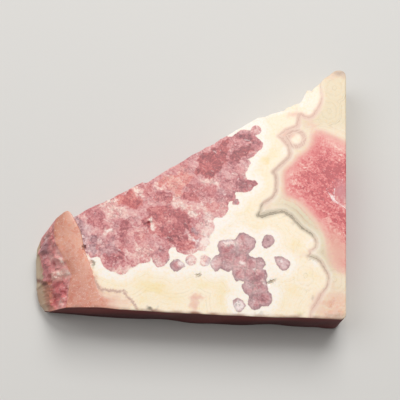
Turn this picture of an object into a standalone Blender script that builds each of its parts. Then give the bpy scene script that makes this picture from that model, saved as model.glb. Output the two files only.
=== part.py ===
"""Rhodochrosite slice: one sawn slab of banded stone, broken along its back-left side.

The slab lies on its sawn back with the patterned sawn face up. +X is its long way and +Y
runs toward the sharp corner. Lengths below are in millimetres; the mesh is in metres.
"""

import bmesh
import bpy
import numpy as np

MM = 0.001
THICKNESS = 10.5  # sawn back to sawn face
RIGHT_X = 35.6  # plane of the sawn right side
SEED = 7

# Where each section of the outline gets its columns of vertices.
NOSE_COLUMNS = 44
FRONT_COLUMNS = 48
RIGHT_COLUMNS = 9
CORNER_COLUMNS = 7
BROKEN_COLUMNS = 84

# Heights of the rows that go down the walls, sawn face first.
WALL_Z = (10.5, 10.3, 9.8, 9.1, 8.4, 7.7, 7.0, 6.2, 5.4, 4.6, 3.8, 3.0, 2.1, 1.2, 0.4, 0.0)

# Front edge of the sawn face, left to right, up to the blunted lower right corner.
FRONT_Y = -30.45
FRONT_EDGE = (
    (-17.2, -30.7), (-14.1, -30.95), (-8.0, -31.0), (0.0, -31.0), (8.0, -31.0),
    (16.6, -30.9), (25.5, -30.55), (34.3, FRONT_Y),
)
CORNER_RADIUS = (1.2, 2.0)  # of the lower right corner, at the face and at the back
# The sharp corner, from the sawn side round to the broken side.
SHARP_CORNER = (
    (RIGHT_X, 29.2), (35.4, 30.3), (34.9, 30.85), (34.1, 31.05), (33.4, 30.95),
    (32.7, 30.65), (32.1, 30.15), (31.7, 29.65),
)
# The long broken side, from the sharp corner down to the notch beside the nose.
BROKEN_EDGE = (
    (31.7, 29.65), (30.3, 28.65), (29.4, 27.35), (28.1, 26.15), (27.2, 25.05),
    (26.8, 25.25), (26.2, 25.15), (25.5, 23.85), (24.9, 22.25), (24.5, 21.55),
    (23.2, 21.35), (22.6, 20.75), (21.4, 20.45), (20.8, 19.45), (19.4, 19.05),
    (18.0, 18.55), (16.3, 17.55), (14.7, 17.35), (13.1, 16.15), (11.4, 14.95),
    (9.6, 13.75), (8.2, 12.65), (5.9, 11.15), (4.6, 9.95), (2.5, 8.85), (1.4, 7.85),
    (-0.4, 6.85), (-2.2, 5.35), (-4.0, 4.05), (-5.8, 2.95), (-7.1, 1.95), (-8.7, 0.65),
    (-10.4, -0.75), (-10.9, -0.85), (-11.6, -0.65), (-12.9, -1.45), (-14.7, -2.75),
    (-16.4, -3.75), (-18.6, -5.25), (-20.8, -6.35), (-22.8, -7.35), (-24.3, -8.35),
    (-25.2, -9.15), (-26.6, -10.1),
)

# Rails of the nose, each from the front wall back to the notch.
CREASE = (  # the sawn face ends here
    (-17.2, -30.7, 10.5), (-17.9, -29.6, 10.5), (-19.0, -27.7, 10.5), (-20.0, -25.5, 10.5),
    (-20.6, -23.9, 10.5), (-21.4, -21.9, 10.5), (-22.3, -19.8, 10.5), (-23.2, -18.0, 10.5),
    (-23.7, -16.4, 10.5), (-24.1, -14.7, 10.5), (-24.7, -13.2, 10.5), (-25.6, -11.7, 10.5),
    (-26.6, -10.1, 10.5),
)
LIP = (  # top of the step that stands above the face
    (-17.9, -30.75, 10.45), (-18.5, -29.5, 10.5), (-19.5, -27.6, 10.55), (-20.3, -25.4, 10.6),
    (-20.9, -23.8, 10.65), (-21.7, -21.8, 10.7), (-22.6, -19.7, 10.75), (-23.5, -17.9, 10.8),
    (-24.0, -16.3, 10.9), (-24.4, -14.7, 11.0), (-25.0, -13.2, 11.1), (-25.9, -11.6, 11.15),
    (-26.9, -10.0, 11.2), (-27.4, -9.2, 11.15),
)
CREST = (  # far edge of the rounded crest
    (-19.8, -30.8, 10.3), (-20.5, -28.5, 10.4), (-21.7, -25.6, 10.45), (-22.9, -22.4, 10.55),
    (-24.2, -19.1, 10.7), (-25.1, -15.6, 10.85), (-25.6, -14.2, 10.9), (-26.3, -12.8, 11.0),
    (-27.3, -11.2, 11.1), (-28.3, -8.95, 11.05),
)
BREAK = (  # low edge of the smooth facet, where the rough break starts
    (-26.2, -31.0, 9.5), (-26.3, -28.6, 9.5), (-26.1, -27.0, 9.5), (-25.9, -24.6, 9.55),
    (-25.7, -23.4, 9.6), (-26.5, -22.3, 9.55), (-27.2, -21.2, 9.5), (-28.3, -18.9, 9.5),
    (-29.8, -16.6, 9.4), (-30.9, -14.3, 9.2), (-31.0, -11.8, 9.1), (-30.7, -10.2, 9.2),
)
LEDGE = (  # top of the pale rim under the break
    (-30.9, -30.9, 3.8), (-31.2, -28.1, 3.8), (-31.8, -26.3, 3.8), (-32.9, -24.6, 3.8),
    (-33.4, -22.4, 3.8), (-33.8, -20.0, 3.8), (-34.4, -15.6, 3.9), (-34.5, -13.6, 4.4),
)
RIM = (  # outermost line of the nose
    (-32.3, -30.4, 1.9), (-33.4, -29.15, 1.8), (-34.0, -27.85, 1.8), (-34.5, -26.25, 2.0),
    (-34.9, -24.35, 2.0), (-35.3, -21.95, 2.0), (-35.5, -19.65, 2.2), (-35.7, -17.25, 2.4),
    (-35.6, -16.2, 2.7),
)

# Chips out of the front rim: place, half-width and depth.
RIM_CHIPS = ((-9.6, 1.4, 0.4), (2.6, 1.0, 0.25), (11.6, 1.2, 0.25), (23.6, 1.1, 0.25))

# Open pits in the sawn face: centre, half-lengths along and across, depth, turn in degrees.
PITS = (
    (-23.35, -17.2, 0.75, 0.42, 0.8, 75.0),
    (-21.0, -20.7, 0.75, 0.35, 0.6, -60.0),
    (2.7, -22.2, 0.60, 0.35, 0.5, 0.0),
    (19.1, -22.8, 1.05, 0.35, 0.7, 25.0),
    (-9.0, -10.5, 0.60, 0.40, 0.5, 20.0),
)


def along(points, count):
    """Evenly spaced points on a polyline, both ends included."""
    points = np.array(points, float)
    steps = np.linalg.norm(np.diff(points, axis=0), axis=1)
    place = np.concatenate([[0.0], np.cumsum(steps)])
    wanted = np.linspace(0.0, place[-1], count)
    return np.stack([np.interp(wanted, place, axis) for axis in points.T], axis=1)


def between(low, high, share, rise=0.0):
    """A rail part of the way from one rail to the next, raised in its middle."""
    middle = low * (1.0 - share) + high * share
    middle[:, 2] += rise
    return middle


def nose_rows():
    """Rails that step down the nose from the crease to the sawn back, one for each row."""
    crease, lip, crest, broken, ledge, rim = (
        along(rail, NOSE_COLUMNS) for rail in (CREASE, LIP, CREST, BREAK, LEDGE, RIM)
    )
    under = rim * (1.0, 1.0, 0.0)
    rows = [
        crease,
        lip,
        crest,
        between(crest, broken, 0.5, 0.15),
        broken,
        between(broken, ledge, 0.12),
        between(broken, ledge, 0.28),
        between(broken, ledge, 0.46),
        between(broken, ledge, 0.64),
        between(broken, ledge, 0.82),
        ledge,
        between(ledge, rim, 0.45, 0.1),
        rim,
        under + (0.05, 0.05, 1.0),
        under + (0.30, 0.10, 0.35),
        under + (0.60, 0.20, 0.0),
    ]
    return np.array(rows)


def facets(rng, length, height, spacing, tilt, step):
    """Seeds of flat fracture faces on a wall: place, slope and depth of each."""
    count = int(length * height / spacing**2) + 4
    place = rng.uniform((0.0, 0.0), (length, height), (count, 2))
    slope = rng.normal(0.0, tilt, (count, 2))
    return place, slope, rng.normal(0.0, step, count)


def facet_depth(seeds, run, height, sharpness=3.0):
    """Depth of the fracture face that owns each point, eased into its neighbours."""
    place, slope, base = seeds
    offset_x = run[..., None] - place[:, 0]
    offset_z = height[..., None] - place[:, 1]
    near = offset_x**2 + (1.3 * offset_z) ** 2
    weight = np.exp(-sharpness * (near - near.min(axis=-1, keepdims=True)))
    plane = base + slope[:, 0] * offset_x + slope[:, 1] * offset_z
    return (weight * plane).sum(axis=-1) / weight.sum(axis=-1)


def outward(edge, smoothing):
    """Unit vectors that point out of the slab along an edge that runs anticlockwise."""
    way = np.gradient(edge, axis=0)
    padded = np.pad(way, ((smoothing, smoothing), (0, 0)), mode="edge")
    window = np.ones(2 * smoothing + 1)
    way = np.stack([np.convolve(axis, window, "valid") for axis in padded.T], axis=1)
    way /= np.linalg.norm(way, axis=1, keepdims=True)
    return np.stack([way[:, 1], -way[:, 0]], axis=1)


def wall_rows(edge, depth, chamfer, foot, smoothing=0):
    """Rows of a wall under an edge: depth moves each row in or out at its column."""
    normal = outward(edge, smoothing)
    rows = []
    for number, z in enumerate(WALL_Z):
        inset = depth[number]
        if number == 0:
            inset = inset - chamfer
        if number == len(WALL_Z) - 1:
            inset = inset - foot
        flat = edge + normal * inset[:, None]
        rows.append(np.column_stack([flat, np.full(len(edge), z)]))
    return np.array(rows)


def front_wall():
    """Smooth skin with a slow wave, a shallow scoop near the nose and a few rim chips."""
    edge = along(FRONT_EDGE, FRONT_COLUMNS)
    x = edge[:, 0]
    z = np.array(WALL_Z)[:, None]
    wave = 0.20 * np.sin(x / 4.1 + z / 5.0) + 0.12 * np.sin(x / 1.9 - z / 2.6 + 1.0)
    scoop = -0.7 * np.exp(-(((x + 19.0) / 5.0) ** 2) - ((z - 5.5) / 3.5) ** 2)
    fade = np.clip((33.0 - x) / 3.0, 0.0, 1.0) * np.clip((THICKNESS - z) / 1.2, 0.0, 1.0)
    chip = np.full(len(x), 0.18)
    for centre, width, deep in RIM_CHIPS:
        chip += deep * np.exp(-(((x - centre) / width) ** 2))
    return wall_rows(edge, (wave - 0.25 + scoop) * fade, chip, np.full(len(x), 0.3))


def blunt_corner():
    """Lower right corner, rounder toward the back."""
    turn = np.linspace(-np.pi / 2, 0.0, CORNER_COLUMNS)
    rows = []
    for z in WALL_Z:
        share = 1.0 - z / THICKNESS
        radius = CORNER_RADIUS[0] * (1.0 - share) + CORNER_RADIUS[1] * share
        drawn = radius - (0.18 if z == THICKNESS else 0.3 if z == 0.0 else 0.0)
        x = RIGHT_X - radius + drawn * np.cos(turn)
        y = FRONT_Y + radius + drawn * np.sin(turn)
        rows.append(np.column_stack([x, y, np.full(CORNER_COLUMNS, z)]))
    return np.array(rows)


def sawn_side(first, last):
    """Plane side between two corner columns."""
    share = np.linspace(0.0, 1.0, RIGHT_COLUMNS)[None, :, None]
    return first[:, None] * (1.0 - share) + last[:, None] * share


def sharp_corner():
    """Blunted corner, drawn in a little toward the back."""
    edge = along(SHARP_CORNER, CORNER_COLUMNS)
    ease = np.sin(np.linspace(0.0, np.pi / 2, CORNER_COLUMNS))
    z = np.array(WALL_Z)[:, None]
    depth = -0.9 * ease * (THICKNESS - z) / THICKNESS
    rows = wall_rows(edge, depth, np.full(CORNER_COLUMNS, 0.18), np.full(CORNER_COLUMNS, 0.3))
    rows[1:-1, 0, 0] = RIGHT_X
    rows[:, 0, 1] = edge[0, 1]
    return rows


def broken_wall(rng):
    """Fractured side: flat breaks with sharp steps, undercut toward the back."""
    edge = along(BROKEN_EDGE, BROKEN_COLUMNS - 1)
    edge = np.concatenate([edge, edge[-1:] + (-0.1, -0.05)])
    run = np.linspace(0.0, 70.0, BROKEN_COLUMNS)
    z = np.array(WALL_Z)[:, None]
    seeds = facets(rng, 70.0, THICKNESS, 4.2, 0.22, 0.35)
    broad = facets(rng, 70.0, THICKNESS, 9.0, 0.10, 0.6)
    spread_run, spread_z = np.meshgrid(run, np.array(WALL_Z))
    rough = facet_depth(seeds, spread_run, spread_z) + facet_depth(broad, spread_run, spread_z)
    ease = np.clip((THICKNESS - z) / 2.5, 0.0, 1.0)
    ends = np.clip(np.minimum(run, 70.0 - run) / 2.5, 0.0, 1.0)
    undercut = -0.9 - 0.9 * (THICKNESS - z) / THICKNESS
    undercut = undercut - 1.3 * np.clip((run - 62.0) / 5.0, 0.0, 1.0)
    depth = np.minimum(rough * ends + undercut, 0.25) * ease
    chips = np.clip(rng.normal(0.22, 0.14, BROKEN_COLUMNS), 0.08, 0.5)
    return wall_rows(edge, depth, chips, np.full(BROKEN_COLUMNS, 0.3), 6)


def meet(wall, column, reach, at_start):
    """Bends one end of a wall so that it starts exactly on the end column of the nose."""
    lengths = np.linalg.norm(np.diff(wall[1], axis=0), axis=1)
    place = np.concatenate([[0.0], np.cumsum(lengths)])
    if not at_start:
        place = place[-1] - place
    end = 0 if at_start else -1
    for row in range(len(wall)):
        pull = np.clip(1.0 - place / reach[row], 0.0, 1.0) ** 2
        wall[row] += (column[row] - wall[row, end]) * pull[:, None]
    return wall


def roughen_nose(rows, rng):
    """Crystalline break between the smooth facet and the pale rim."""
    length = np.linspace(0.0, 24.0, NOSE_COLUMNS)
    seeds = facets(rng, 24.0, 8.0, 2.4, 0.24, 0.30)
    ends = np.clip(np.minimum(length, 24.0 - length) / 1.5, 0.0, 1.0)
    shares = {4: 0.3, 5: 0.7, 6: 1.0, 7: 1.0, 8: 1.0, 9: 0.8, 10: 0.5, 11: 0.4, 12: 0.3}
    for row, share in shares.items():
        down = np.full(NOSE_COLUMNS, 1.3 * (row - 4))
        rough = facet_depth(seeds, length, down, 1.2) * ends * share
        rows[row, :, 0] -= 0.7 * rough
        rows[row, :, 2] += 0.6 * rough * (row < 12)
    return rows


def block_rows():
    """Closed rows of the whole outline, anticlockwise seen from above, face edge first."""
    rng = np.random.default_rng(SEED)
    nose = roughen_nose(nose_rows(), rng)
    blunt = blunt_corner()
    sharp = sharp_corner()
    side = sawn_side(blunt[:, -1], sharp[:, 0])
    front = meet(front_wall(), nose[:, 0], (12.0,) * 16, True)
    front = meet(front, blunt[:, 0], (5.0,) * 16, False)
    back = meet(broken_wall(rng), sharp[:, -1], (2.5,) * 16, True)
    back = meet(back, nose[:, -1], (0.1,) * 5 + (1.5, 3.0, 4.5) + (6.0,) * 8, False)
    sections = (front, blunt, side, sharp, back, nose[:, ::-1])
    return np.concatenate([section[:, :-1] for section in sections], axis=1)


def block_mesh():
    """Skins the rows, closes the face and the back, and centres the block on its box."""
    rows = block_rows()
    low = rows.reshape(-1, 3).min(axis=0)
    high = rows.reshape(-1, 3).max(axis=0)
    rows -= ((low[0] + high[0]) / 2, (low[1] + high[1]) / 2, low[2])
    mesh = bmesh.new()
    rings = [[mesh.verts.new(point * MM) for point in row] for row in rows]
    count = len(rings[0])
    for upper, lower in zip(rings, rings[1:]):
        for a in range(count):
            b = (a + 1) % count
            mesh.faces.new((upper[a], lower[a], lower[b], upper[b]))
    mesh.faces.new(rings[0])
    mesh.faces.new(list(reversed(rings[-1])))
    bmesh.ops.triangulate(mesh, faces=mesh.faces[:])
    bmesh.ops.recalc_face_normals(mesh, faces=mesh.faces[:])
    return mesh


def add_object(name, mesh):
    """Turns a bmesh into a named object in the scene."""
    data = bpy.data.meshes.new(name)
    mesh.to_mesh(data)
    mesh.free()
    thing = bpy.data.objects.new(name, data)
    bpy.context.scene.collection.objects.link(thing)
    return thing


def pit_cutter(number, x, y, half_long, half_wide, depth, turn):
    """A faceted bowl that opens one pit in the sawn face."""
    mesh = bmesh.new()
    bmesh.ops.create_icosphere(mesh, subdivisions=2, radius=1.0)
    points = np.array([vert.co for vert in mesh.verts])
    points *= (half_long, half_wide, depth)
    angle = np.radians(turn)
    spin = np.array(((np.cos(angle), np.sin(angle)), (-np.sin(angle), np.cos(angle))))
    points[:, :2] = points[:, :2] @ spin
    points += (x, y, THICKNESS + 0.07)
    for vert, point in zip(mesh.verts, points):
        vert.co = point * MM
    cutter = add_object(f"pit_cutter_{number}", mesh)
    cutter.hide_render = True
    cutter.display_type = "WIRE"
    return cutter


def stone_material():
    """Satin rose-red carbonate stone."""
    material = bpy.data.materials.new("rhodochrosite")
    material.use_nodes = True
    shader = material.node_tree.nodes["Principled BSDF"]
    shader.inputs["Base Color"].default_value = (0.55, 0.22, 0.22, 1.0)
    shader.inputs["Roughness"].default_value = 0.45
    return material


def build():
    """Makes the slab and opens its pits."""
    for thing in list(bpy.data.objects):
        bpy.data.objects.remove(thing)
    block = add_object("rhodochrosite_slice", block_mesh())
    block.data.materials.append(stone_material())
    for number, pit in enumerate(PITS):
        cutter = pit_cutter(number, *pit)
        cut = block.modifiers.new(f"pit_{number}", "BOOLEAN")
        cut.operation = "DIFFERENCE"
        cut.solver = "EXACT"
        cut.object = cutter


build()
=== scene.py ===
from types import SimpleNamespace

import bpy
import numpy as np
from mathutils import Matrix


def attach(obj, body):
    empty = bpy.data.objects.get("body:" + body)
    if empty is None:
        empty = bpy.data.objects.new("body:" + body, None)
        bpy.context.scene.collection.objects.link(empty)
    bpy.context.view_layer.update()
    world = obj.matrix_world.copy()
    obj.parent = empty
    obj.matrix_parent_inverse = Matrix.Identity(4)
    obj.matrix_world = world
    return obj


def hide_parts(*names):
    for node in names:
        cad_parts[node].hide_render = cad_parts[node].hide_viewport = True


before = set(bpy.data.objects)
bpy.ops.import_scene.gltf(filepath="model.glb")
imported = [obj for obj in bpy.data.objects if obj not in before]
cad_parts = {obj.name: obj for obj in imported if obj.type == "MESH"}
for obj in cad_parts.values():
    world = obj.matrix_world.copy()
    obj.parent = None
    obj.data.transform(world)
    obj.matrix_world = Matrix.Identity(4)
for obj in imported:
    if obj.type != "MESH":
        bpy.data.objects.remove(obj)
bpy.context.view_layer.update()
print("frame loaded")

mm = 0.001

# The slab's own form, in millimetres: the sawn back lies on z = 0 and the patterned face looks up.
slab = {
    "thickness": 10.5,
    "sawnSideX": 35.6,
    "frontY": -30.45,
    "seed": 7,
    # Cells along each stretch of the outline, and rows between the two bevels.
    "frontCells": 214,
    "bluntCells": 12,
    "sawnCells": 166,
    "sharpCells": 16,
    "brokenCells": 212,
    "noseCells": 180,
    "rowsDown": 47,
    "wallZ": (10.5, 10.3, 9.8, 9.1, 8.4, 7.7, 7, 6.2, 5.4, 4.6, 3.8, 3, 2.1, 1.2, 0.4, 0),  # of each rail
    "gapColumns": 44,  # columns that the gaps between rails are measured on
    "faceBevel": 0.18,
    "footBevel": 0.3,
    "cornerRadius": (1.2, 2),  # lower right corner, at the face and at the back
    "frontInset": 0.25,
    "frontWaves": ((0.2, 4.1, 5, 0), (0.12, 1.9, -2.6, 1)),  # depth, slowness along x and z, phase
    "frontScoop": (-0.7, -19, 5, 5.5, 3.5),  # depth, then centre and half-width along x and in height
    "wavesEnd": 33,  # x where the waves have faded out
    "cornerLean": 0.9,  # how far the sharp corner leans in at the back
    "noseLength": 24,
    "brokenLength": 70,
    # Undercut of the broken side: at the face, more at the back, more near the nose, from where
    # along the wall, and over how much of it.
    "undercut": (0.9, 0.9, 1.3, 62, 5),
    "chipCount": 83,  # chips along the broken rim
    "chipDepth": (0.22, 0.14, 0.08, 0.5),  # mean, spread, least, most
    "wallGrain": 0.03,
    "noseGrain": 0.018,
    # Fracture faces: spacing, tilt, step between them, sharpness of their borders.
    "noseFaces": (2.4, 0.24, 0.3, 1.2),
    "noseFineFaces": (0.95, 0.2, 0.07, 9),
    "wallFaces": (4.2, 0.22, 0.35, 3),
    "wallBroadFaces": (9, 0.1, 0.6, 3),
    "wallFineFaces": (1.25, 0.28, 0.1, 7),
    "breakRails": (0.12, 0.28, 0.46, 0.64, 0.82),  # shares of the way down the break
    # How deep the nose's faces are at each rail, and a flat step and a ridge on them: amount,
    # then centre and half-width across the rails and along the nose.
    "breakDepth": ((3.5, 4, 5, 6, 8, 9, 10, 11, 12, 12.6), (0, 0.3, 0.7, 1, 1, 0.8, 0.5, 0.4, 0.3, 0)),
    "flatStep": (0.8, 6.2, 1.6, 0.43, 0.09),
    "ridge": (1.1, 7.4, 1.1, 0.42, 0.08),
    "breakPush": (0.7, 0.6),  # how far the break's faces move out and up for each millimetre
    # How far from its end a wall bends to meet its neighbour: front at the nose and at the blunt
    # corner, broken side at the sharp corner, then broken side at the nose for each rail.
    "meetReach": (12, 5, 2.5),
    "noseReach": (0.1, 0.1, 0.1, 0.1, 0.1, 1.5, 3, 4.5, 6, 6, 6, 6, 6, 6, 6, 6),
    "frontEdge": (
        (-17.2, -30.7), (-14.1, -30.95), (-8, -31), (0, -31), (8, -31), (16.6, -30.9), (25.5, -30.55),
        (34.3, -30.45),
    ),
    "sharpCorner": (
        (35.6, 29.2), (35.4, 30.3), (34.9, 30.85), (34.1, 31.05), (33.4, 30.95), (32.7, 30.65),
        (32.1, 30.15), (31.7, 29.65),
    ),
    "brokenEdge": (
        (31.7, 29.65), (30.3, 28.65), (29.4, 27.35), (28.1, 26.15), (27.2, 25.05), (26.8, 25.25),
        (26.2, 25.15), (25.5, 23.85), (24.9, 22.25), (24.5, 21.55), (23.2, 21.35), (22.6, 20.75),
        (21.4, 20.45), (20.8, 19.45), (19.4, 19.05), (18, 18.55), (16.3, 17.55), (14.7, 17.35),
        (13.1, 16.15), (11.4, 14.95), (9.6, 13.75), (8.2, 12.65), (5.9, 11.15), (4.6, 9.95), (2.5, 8.85),
        (1.4, 7.85), (-0.4, 6.85), (-2.2, 5.35), (-4, 4.05), (-5.8, 2.95), (-7.1, 1.95), (-8.7, 0.65),
        (-10.4, -0.75), (-10.9, -0.85), (-11.6, -0.65), (-12.9, -1.45), (-14.7, -2.75), (-16.4, -3.75),
        (-18.6, -5.25), (-20.8, -6.35), (-22.8, -7.35), (-24.3, -8.35), (-25.2, -9.15), (-26.6, -10.1),
    ),
    "crease": (  # where the sawn face meets the nose
        (-17.2, -30.7, 10.5), (-17.9, -29.6, 10.5), (-19, -27.7, 10.5), (-20, -25.5, 10.5),
        (-20.6, -23.9, 10.5), (-21.4, -21.9, 10.5), (-22.3, -19.8, 10.5), (-23.2, -18, 10.5),
        (-23.7, -16.4, 10.5), (-24.1, -14.7, 10.5), (-24.7, -13.2, 10.5), (-25.6, -11.7, 10.5),
        (-26.6, -10.1, 10.5),
    ),
    "lip": (  # top of the step above the face
        (-17.9, -30.75, 10.45), (-18.5, -29.5, 10.5), (-19.5, -27.6, 10.55), (-20.3, -25.4, 10.6),
        (-20.9, -23.8, 10.65), (-21.7, -21.8, 10.7), (-22.6, -19.7, 10.75), (-23.5, -17.9, 10.8),
        (-24, -16.3, 10.9), (-24.4, -14.7, 11), (-25, -13.2, 11.1), (-25.9, -11.6, 11.15),
        (-26.9, -10, 11.2), (-27.4, -9.2, 11.15),
    ),
    "crest": (
        (-19.8, -30.8, 10.3), (-20.5, -28.5, 10.4), (-21.7, -25.6, 10.45), (-22.9, -22.4, 10.55),
        (-24.2, -19.1, 10.7), (-25.1, -15.6, 10.85), (-25.6, -14.2, 10.9), (-26.3, -12.8, 11),
        (-27.3, -11.2, 11.1), (-28.3, -8.95, 11.05),
    ),
    "breakLine": (  # foot of the smooth facet
        (-26.2, -31, 9.5), (-26.3, -28.6, 9.5), (-26.1, -27, 9.5), (-25.9, -24.6, 9.55),
        (-25.7, -23.4, 9.6), (-26.5, -22.3, 9.55), (-27.2, -21.2, 9.5), (-28.3, -18.9, 9.5),
        (-29.8, -16.6, 9.4), (-30.9, -14.3, 9.2), (-31, -11.8, 9.1), (-30.7, -10.2, 9.2),
    ),
    "ledge": (  # foot of the rough break
        (-30.9, -30.9, 3.8), (-31.2, -28.1, 3.8), (-31.8, -26.3, 3.8), (-32.9, -24.6, 3.8),
        (-33.4, -22.4, 3.8), (-33.8, -20, 3.8), (-34.4, -15.6, 3.9), (-34.5, -13.6, 4.4),
    ),
    "rim": (  # outermost line of the nose
        (-32.3, -30.4, 1.9), (-33.4, -29.15, 1.8), (-34, -27.85, 1.8), (-34.5, -26.25, 2),
        (-34.9, -24.35, 2), (-35.3, -21.95, 2), (-35.5, -19.65, 2.2), (-35.7, -17.25, 2.4),
        (-35.6, -16.2, 2.7),
    ),
    "rimChips": (  # chips in the front rim: x, width, depth
        (-9.6, 1.4, 0.4), (2.6, 1, 0.25), (11.6, 1.2, 0.25), (23.6, 1.1, 0.25),
    ),
    "pits": (  # centre, half-lengths along and across, depth, turn in degrees
        (-23.35, -17.2, 0.75, 0.42, 0.73, 75), (-21, -20.7, 0.75, 0.35, 0.53, -60),
        (2.7, -22.2, 0.6, 0.35, 0.43, 0), (19.1, -22.8, 1.05, 0.35, 0.63, 25),
        (-9, -10.5, 0.6, 0.4, 0.43, 20),
    ),
    "pinchReach": 2.2,  # how far from a pit the grid is drawn in
}


# Running sum of steps, starting at 0.
def running(steps):
    return np.concatenate([[0], np.cumsum(steps)])


# Points at equal distances along a polyline: each coordinate is read off the running length.
def evenly(points, count):
    points = np.array(points, float)
    place = running(np.linalg.norm(np.diff(points, axis=0), axis=1))
    wanted = np.linspace(0.0, place[-1], count)
    return np.stack([np.interp(wanted, place, axis) for axis in points.T], axis=1)


# Smooth rise from 0 at low to 1 at high: 3t^2 - 2t^3.
def softStep(value, low, high):
    t = np.clip((value - low) / (high - low), 0.0, 1.0)
    return t * t * (3.0 - 2.0 * t)


# Bell of height 1: exp(-((value - centre) / width)^2).
def bell(value, centre, width):
    return np.exp(-(((value - centre) / width) ** 2))


# One value for each rail, read at the rows' places between the rails.
def alongRails(rail, values):
    return np.interp(rail, np.arange(len(values)), values)


# Depth of flat fracture faces: seeds lie at random on a wall, each with a plane of its own, and
# the planes are mixed by exp(-sharpness * squared distance).
def facets(rng, size, length, height, run, drop):
    spacing, tilt, step, sharpness = slab[size]
    count = int(length * height / spacing**2) + 4
    place = rng.uniform((0.0, 0.0), (length, height), (count, 2))
    slope = rng.normal(0.0, tilt, (count, 2))
    base = rng.normal(0.0, step, count)
    offsetRun = run[..., None] - place[:, 0]
    offsetDrop = drop[..., None] - place[:, 1]
    near = offsetRun**2 + (1.3 * offsetDrop) ** 2
    weight = np.exp(-sharpness * (near - near.min(axis=-1, keepdims=True)))
    plane = base + slope[:, 0] * offsetRun + slope[:, 1] * offsetDrop
    return (weight * plane).sum(axis=-1) / weight.sum(axis=-1)


# The nose's rails, from the crease out over lip, crest, break and rim to the back.
def noseRails(count):
    names = ("crease", "lip", "crest", "breakLine", "ledge", "rim")
    crease, lip, crest, broken, ledge, rim = (evenly(slab[name], count) for name in names)
    under = rim * (1.0, 1.0, 0.0)
    down = [broken + (ledge - broken) * share for share in slab["breakRails"]]
    return np.array([
        crease, lip, crest, (crest + broken) / 2 + (0.0, 0.0, 0.15), broken, *down, ledge,
        ledge * 0.55 + rim * 0.45 + (0.0, 0.0, 0.1), rim, under + (0.05, 0.05, 1.0),
        under + (0.3, 0.1, 0.35), under + (0.6, 0.2, 0.0),
    ])


# Mean distance from each rail to the next.
def meanGaps(rails):
    return np.linalg.norm(np.diff(rails, axis=0), axis=2).mean(axis=1)


# The rows of the outline: rail number, height, and how far each bevel draws the wall in, a
# quarter circle 1 - sqrt(1 - t^2). Rows are close together in the bevels, and between them they
# share out evenly over the nose's rails, whose gaps count to a hundredth of a millimetre.
def outlineRows():
    place = running(np.round(meanGaps(noseRails(slab["gapColumns"]))[:-1], 2))
    middle = np.interp(np.linspace(place[1], place[-1], slab["rowsDown"]), place, np.arange(len(place)))
    last = len(slab["wallZ"]) - 1
    rail = np.concatenate([[0.0, 0.3, 0.65], middle, [last - 0.6, last]])
    bevel, foot = (1 - np.sqrt(1 - np.clip(t, 0, 1) ** 2) for t in (1 - rail, rail - (last - 1)))
    z = alongRails(rail, slab["wallZ"])[:, None]
    bevel, foot = bevel[:, None], slab["footBevel"] * foot[:, None]
    trim = slab["faceBevel"] * bevel + foot
    return SimpleNamespace(rail=rail, z=z, down=slab["thickness"] - z, bevel=bevel, foot=foot, trim=trim)


# Cubic through the rails, with each slope the secant of its neighbours; corner rails keep
# the secants of their own two sides.
def throughRails(rails, place, wanted, corners):
    side = np.diff(rails, axis=0) / np.diff(place)[:, None, None]
    across = (rails[2:] - rails[:-2]) / (place[2:] - place[:-2])[:, None, None]
    slopeOut = np.concatenate([side[:1], across, side[-1:]])
    slopeIn = slopeOut.copy()
    for corner in corners:
        slopeIn[corner], slopeOut[corner] = side[corner - 1], side[corner]
    a = np.clip(np.searchsorted(place, wanted, side="right") - 1, 0, len(place) - 2)
    gap = (place[a + 1] - place[a])[:, None, None]
    t = (wanted - place[a])[:, None, None] / gap
    return (
        (2 * t**3 - 3 * t**2 + 1) * rails[a]
        + (t**3 - 2 * t**2 + t) * gap * slopeOut[a]
        + (3 * t**2 - 2 * t**3) * rails[a + 1]
        + (t**3 - t**2) * gap * slopeIn[a + 1]
    )


# The nose: its rails joined by the cubic above. The second result is how far the break's
# fracture faces push it in and out.
def noseGrid(rail, rng):
    count = slab["noseCells"] + 1
    rails = noseRails(count)
    place = running(meanGaps(rails))
    grid = throughRails(rails, place, alongRails(rail, place), (4, 10))
    length = slab["noseLength"]
    run, drop = np.meshgrid(np.linspace(0.0, length, count), 1.3 * (rail - 4.0))
    rough = facets(rng, "noseFaces", length, 8.0, run, drop)
    share = np.interp(rail, *slab["breakDepth"])[:, None]
    ends = np.clip(np.minimum(run, length - run) / 1.5, 0.0, 1.0)
    flat, ridge = (
        amount * bell(rail[:, None], down, halfDown) * bell(run / length, along, halfAlong)
        for amount, down, halfDown, along, halfAlong in (slab["flatStep"], slab["ridge"])
    )
    return grid, rough * ends * share * (1 - flat) + ridge, (run, drop, ends)


# Roughens the nose: crystal faces about a millimetre across and sugar grain on its break.
def breakNose(nose, rough, across, rail, rng):
    run, drop, ends = across
    fine = facets(rng, "noseFineFaces", slab["noseLength"], 14.0, run, drop)
    fine += rng.normal(0.0, slab["noseGrain"], run.shape)
    inBreak = softStep(rail, 3.9, 4.6) * (1 - softStep(rail, 9.6, 11.5))
    pushed = rough + fine * ends * inBreak[:, None]
    out, up = slab["breakPush"]
    nose[..., 0] -= out * pushed
    nose[..., 2] += up * pushed * (rail < 11.5)[:, None]


# Unit vectors out of the slab: the edge's direction, averaged over its neighbours, turned right.
def outwardOf(edge, reach):
    way = np.gradient(edge, axis=0)
    padded = np.pad(way, ((reach, reach), (0, 0)), mode="edge")
    window = np.ones(2 * reach + 1)
    way = np.stack([np.convolve(axis, window, "valid") for axis in padded.T], axis=1)
    way /= np.linalg.norm(way, axis=1, keepdims=True)
    return np.stack([way[:, 1], -way[:, 0]], axis=1)


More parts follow.
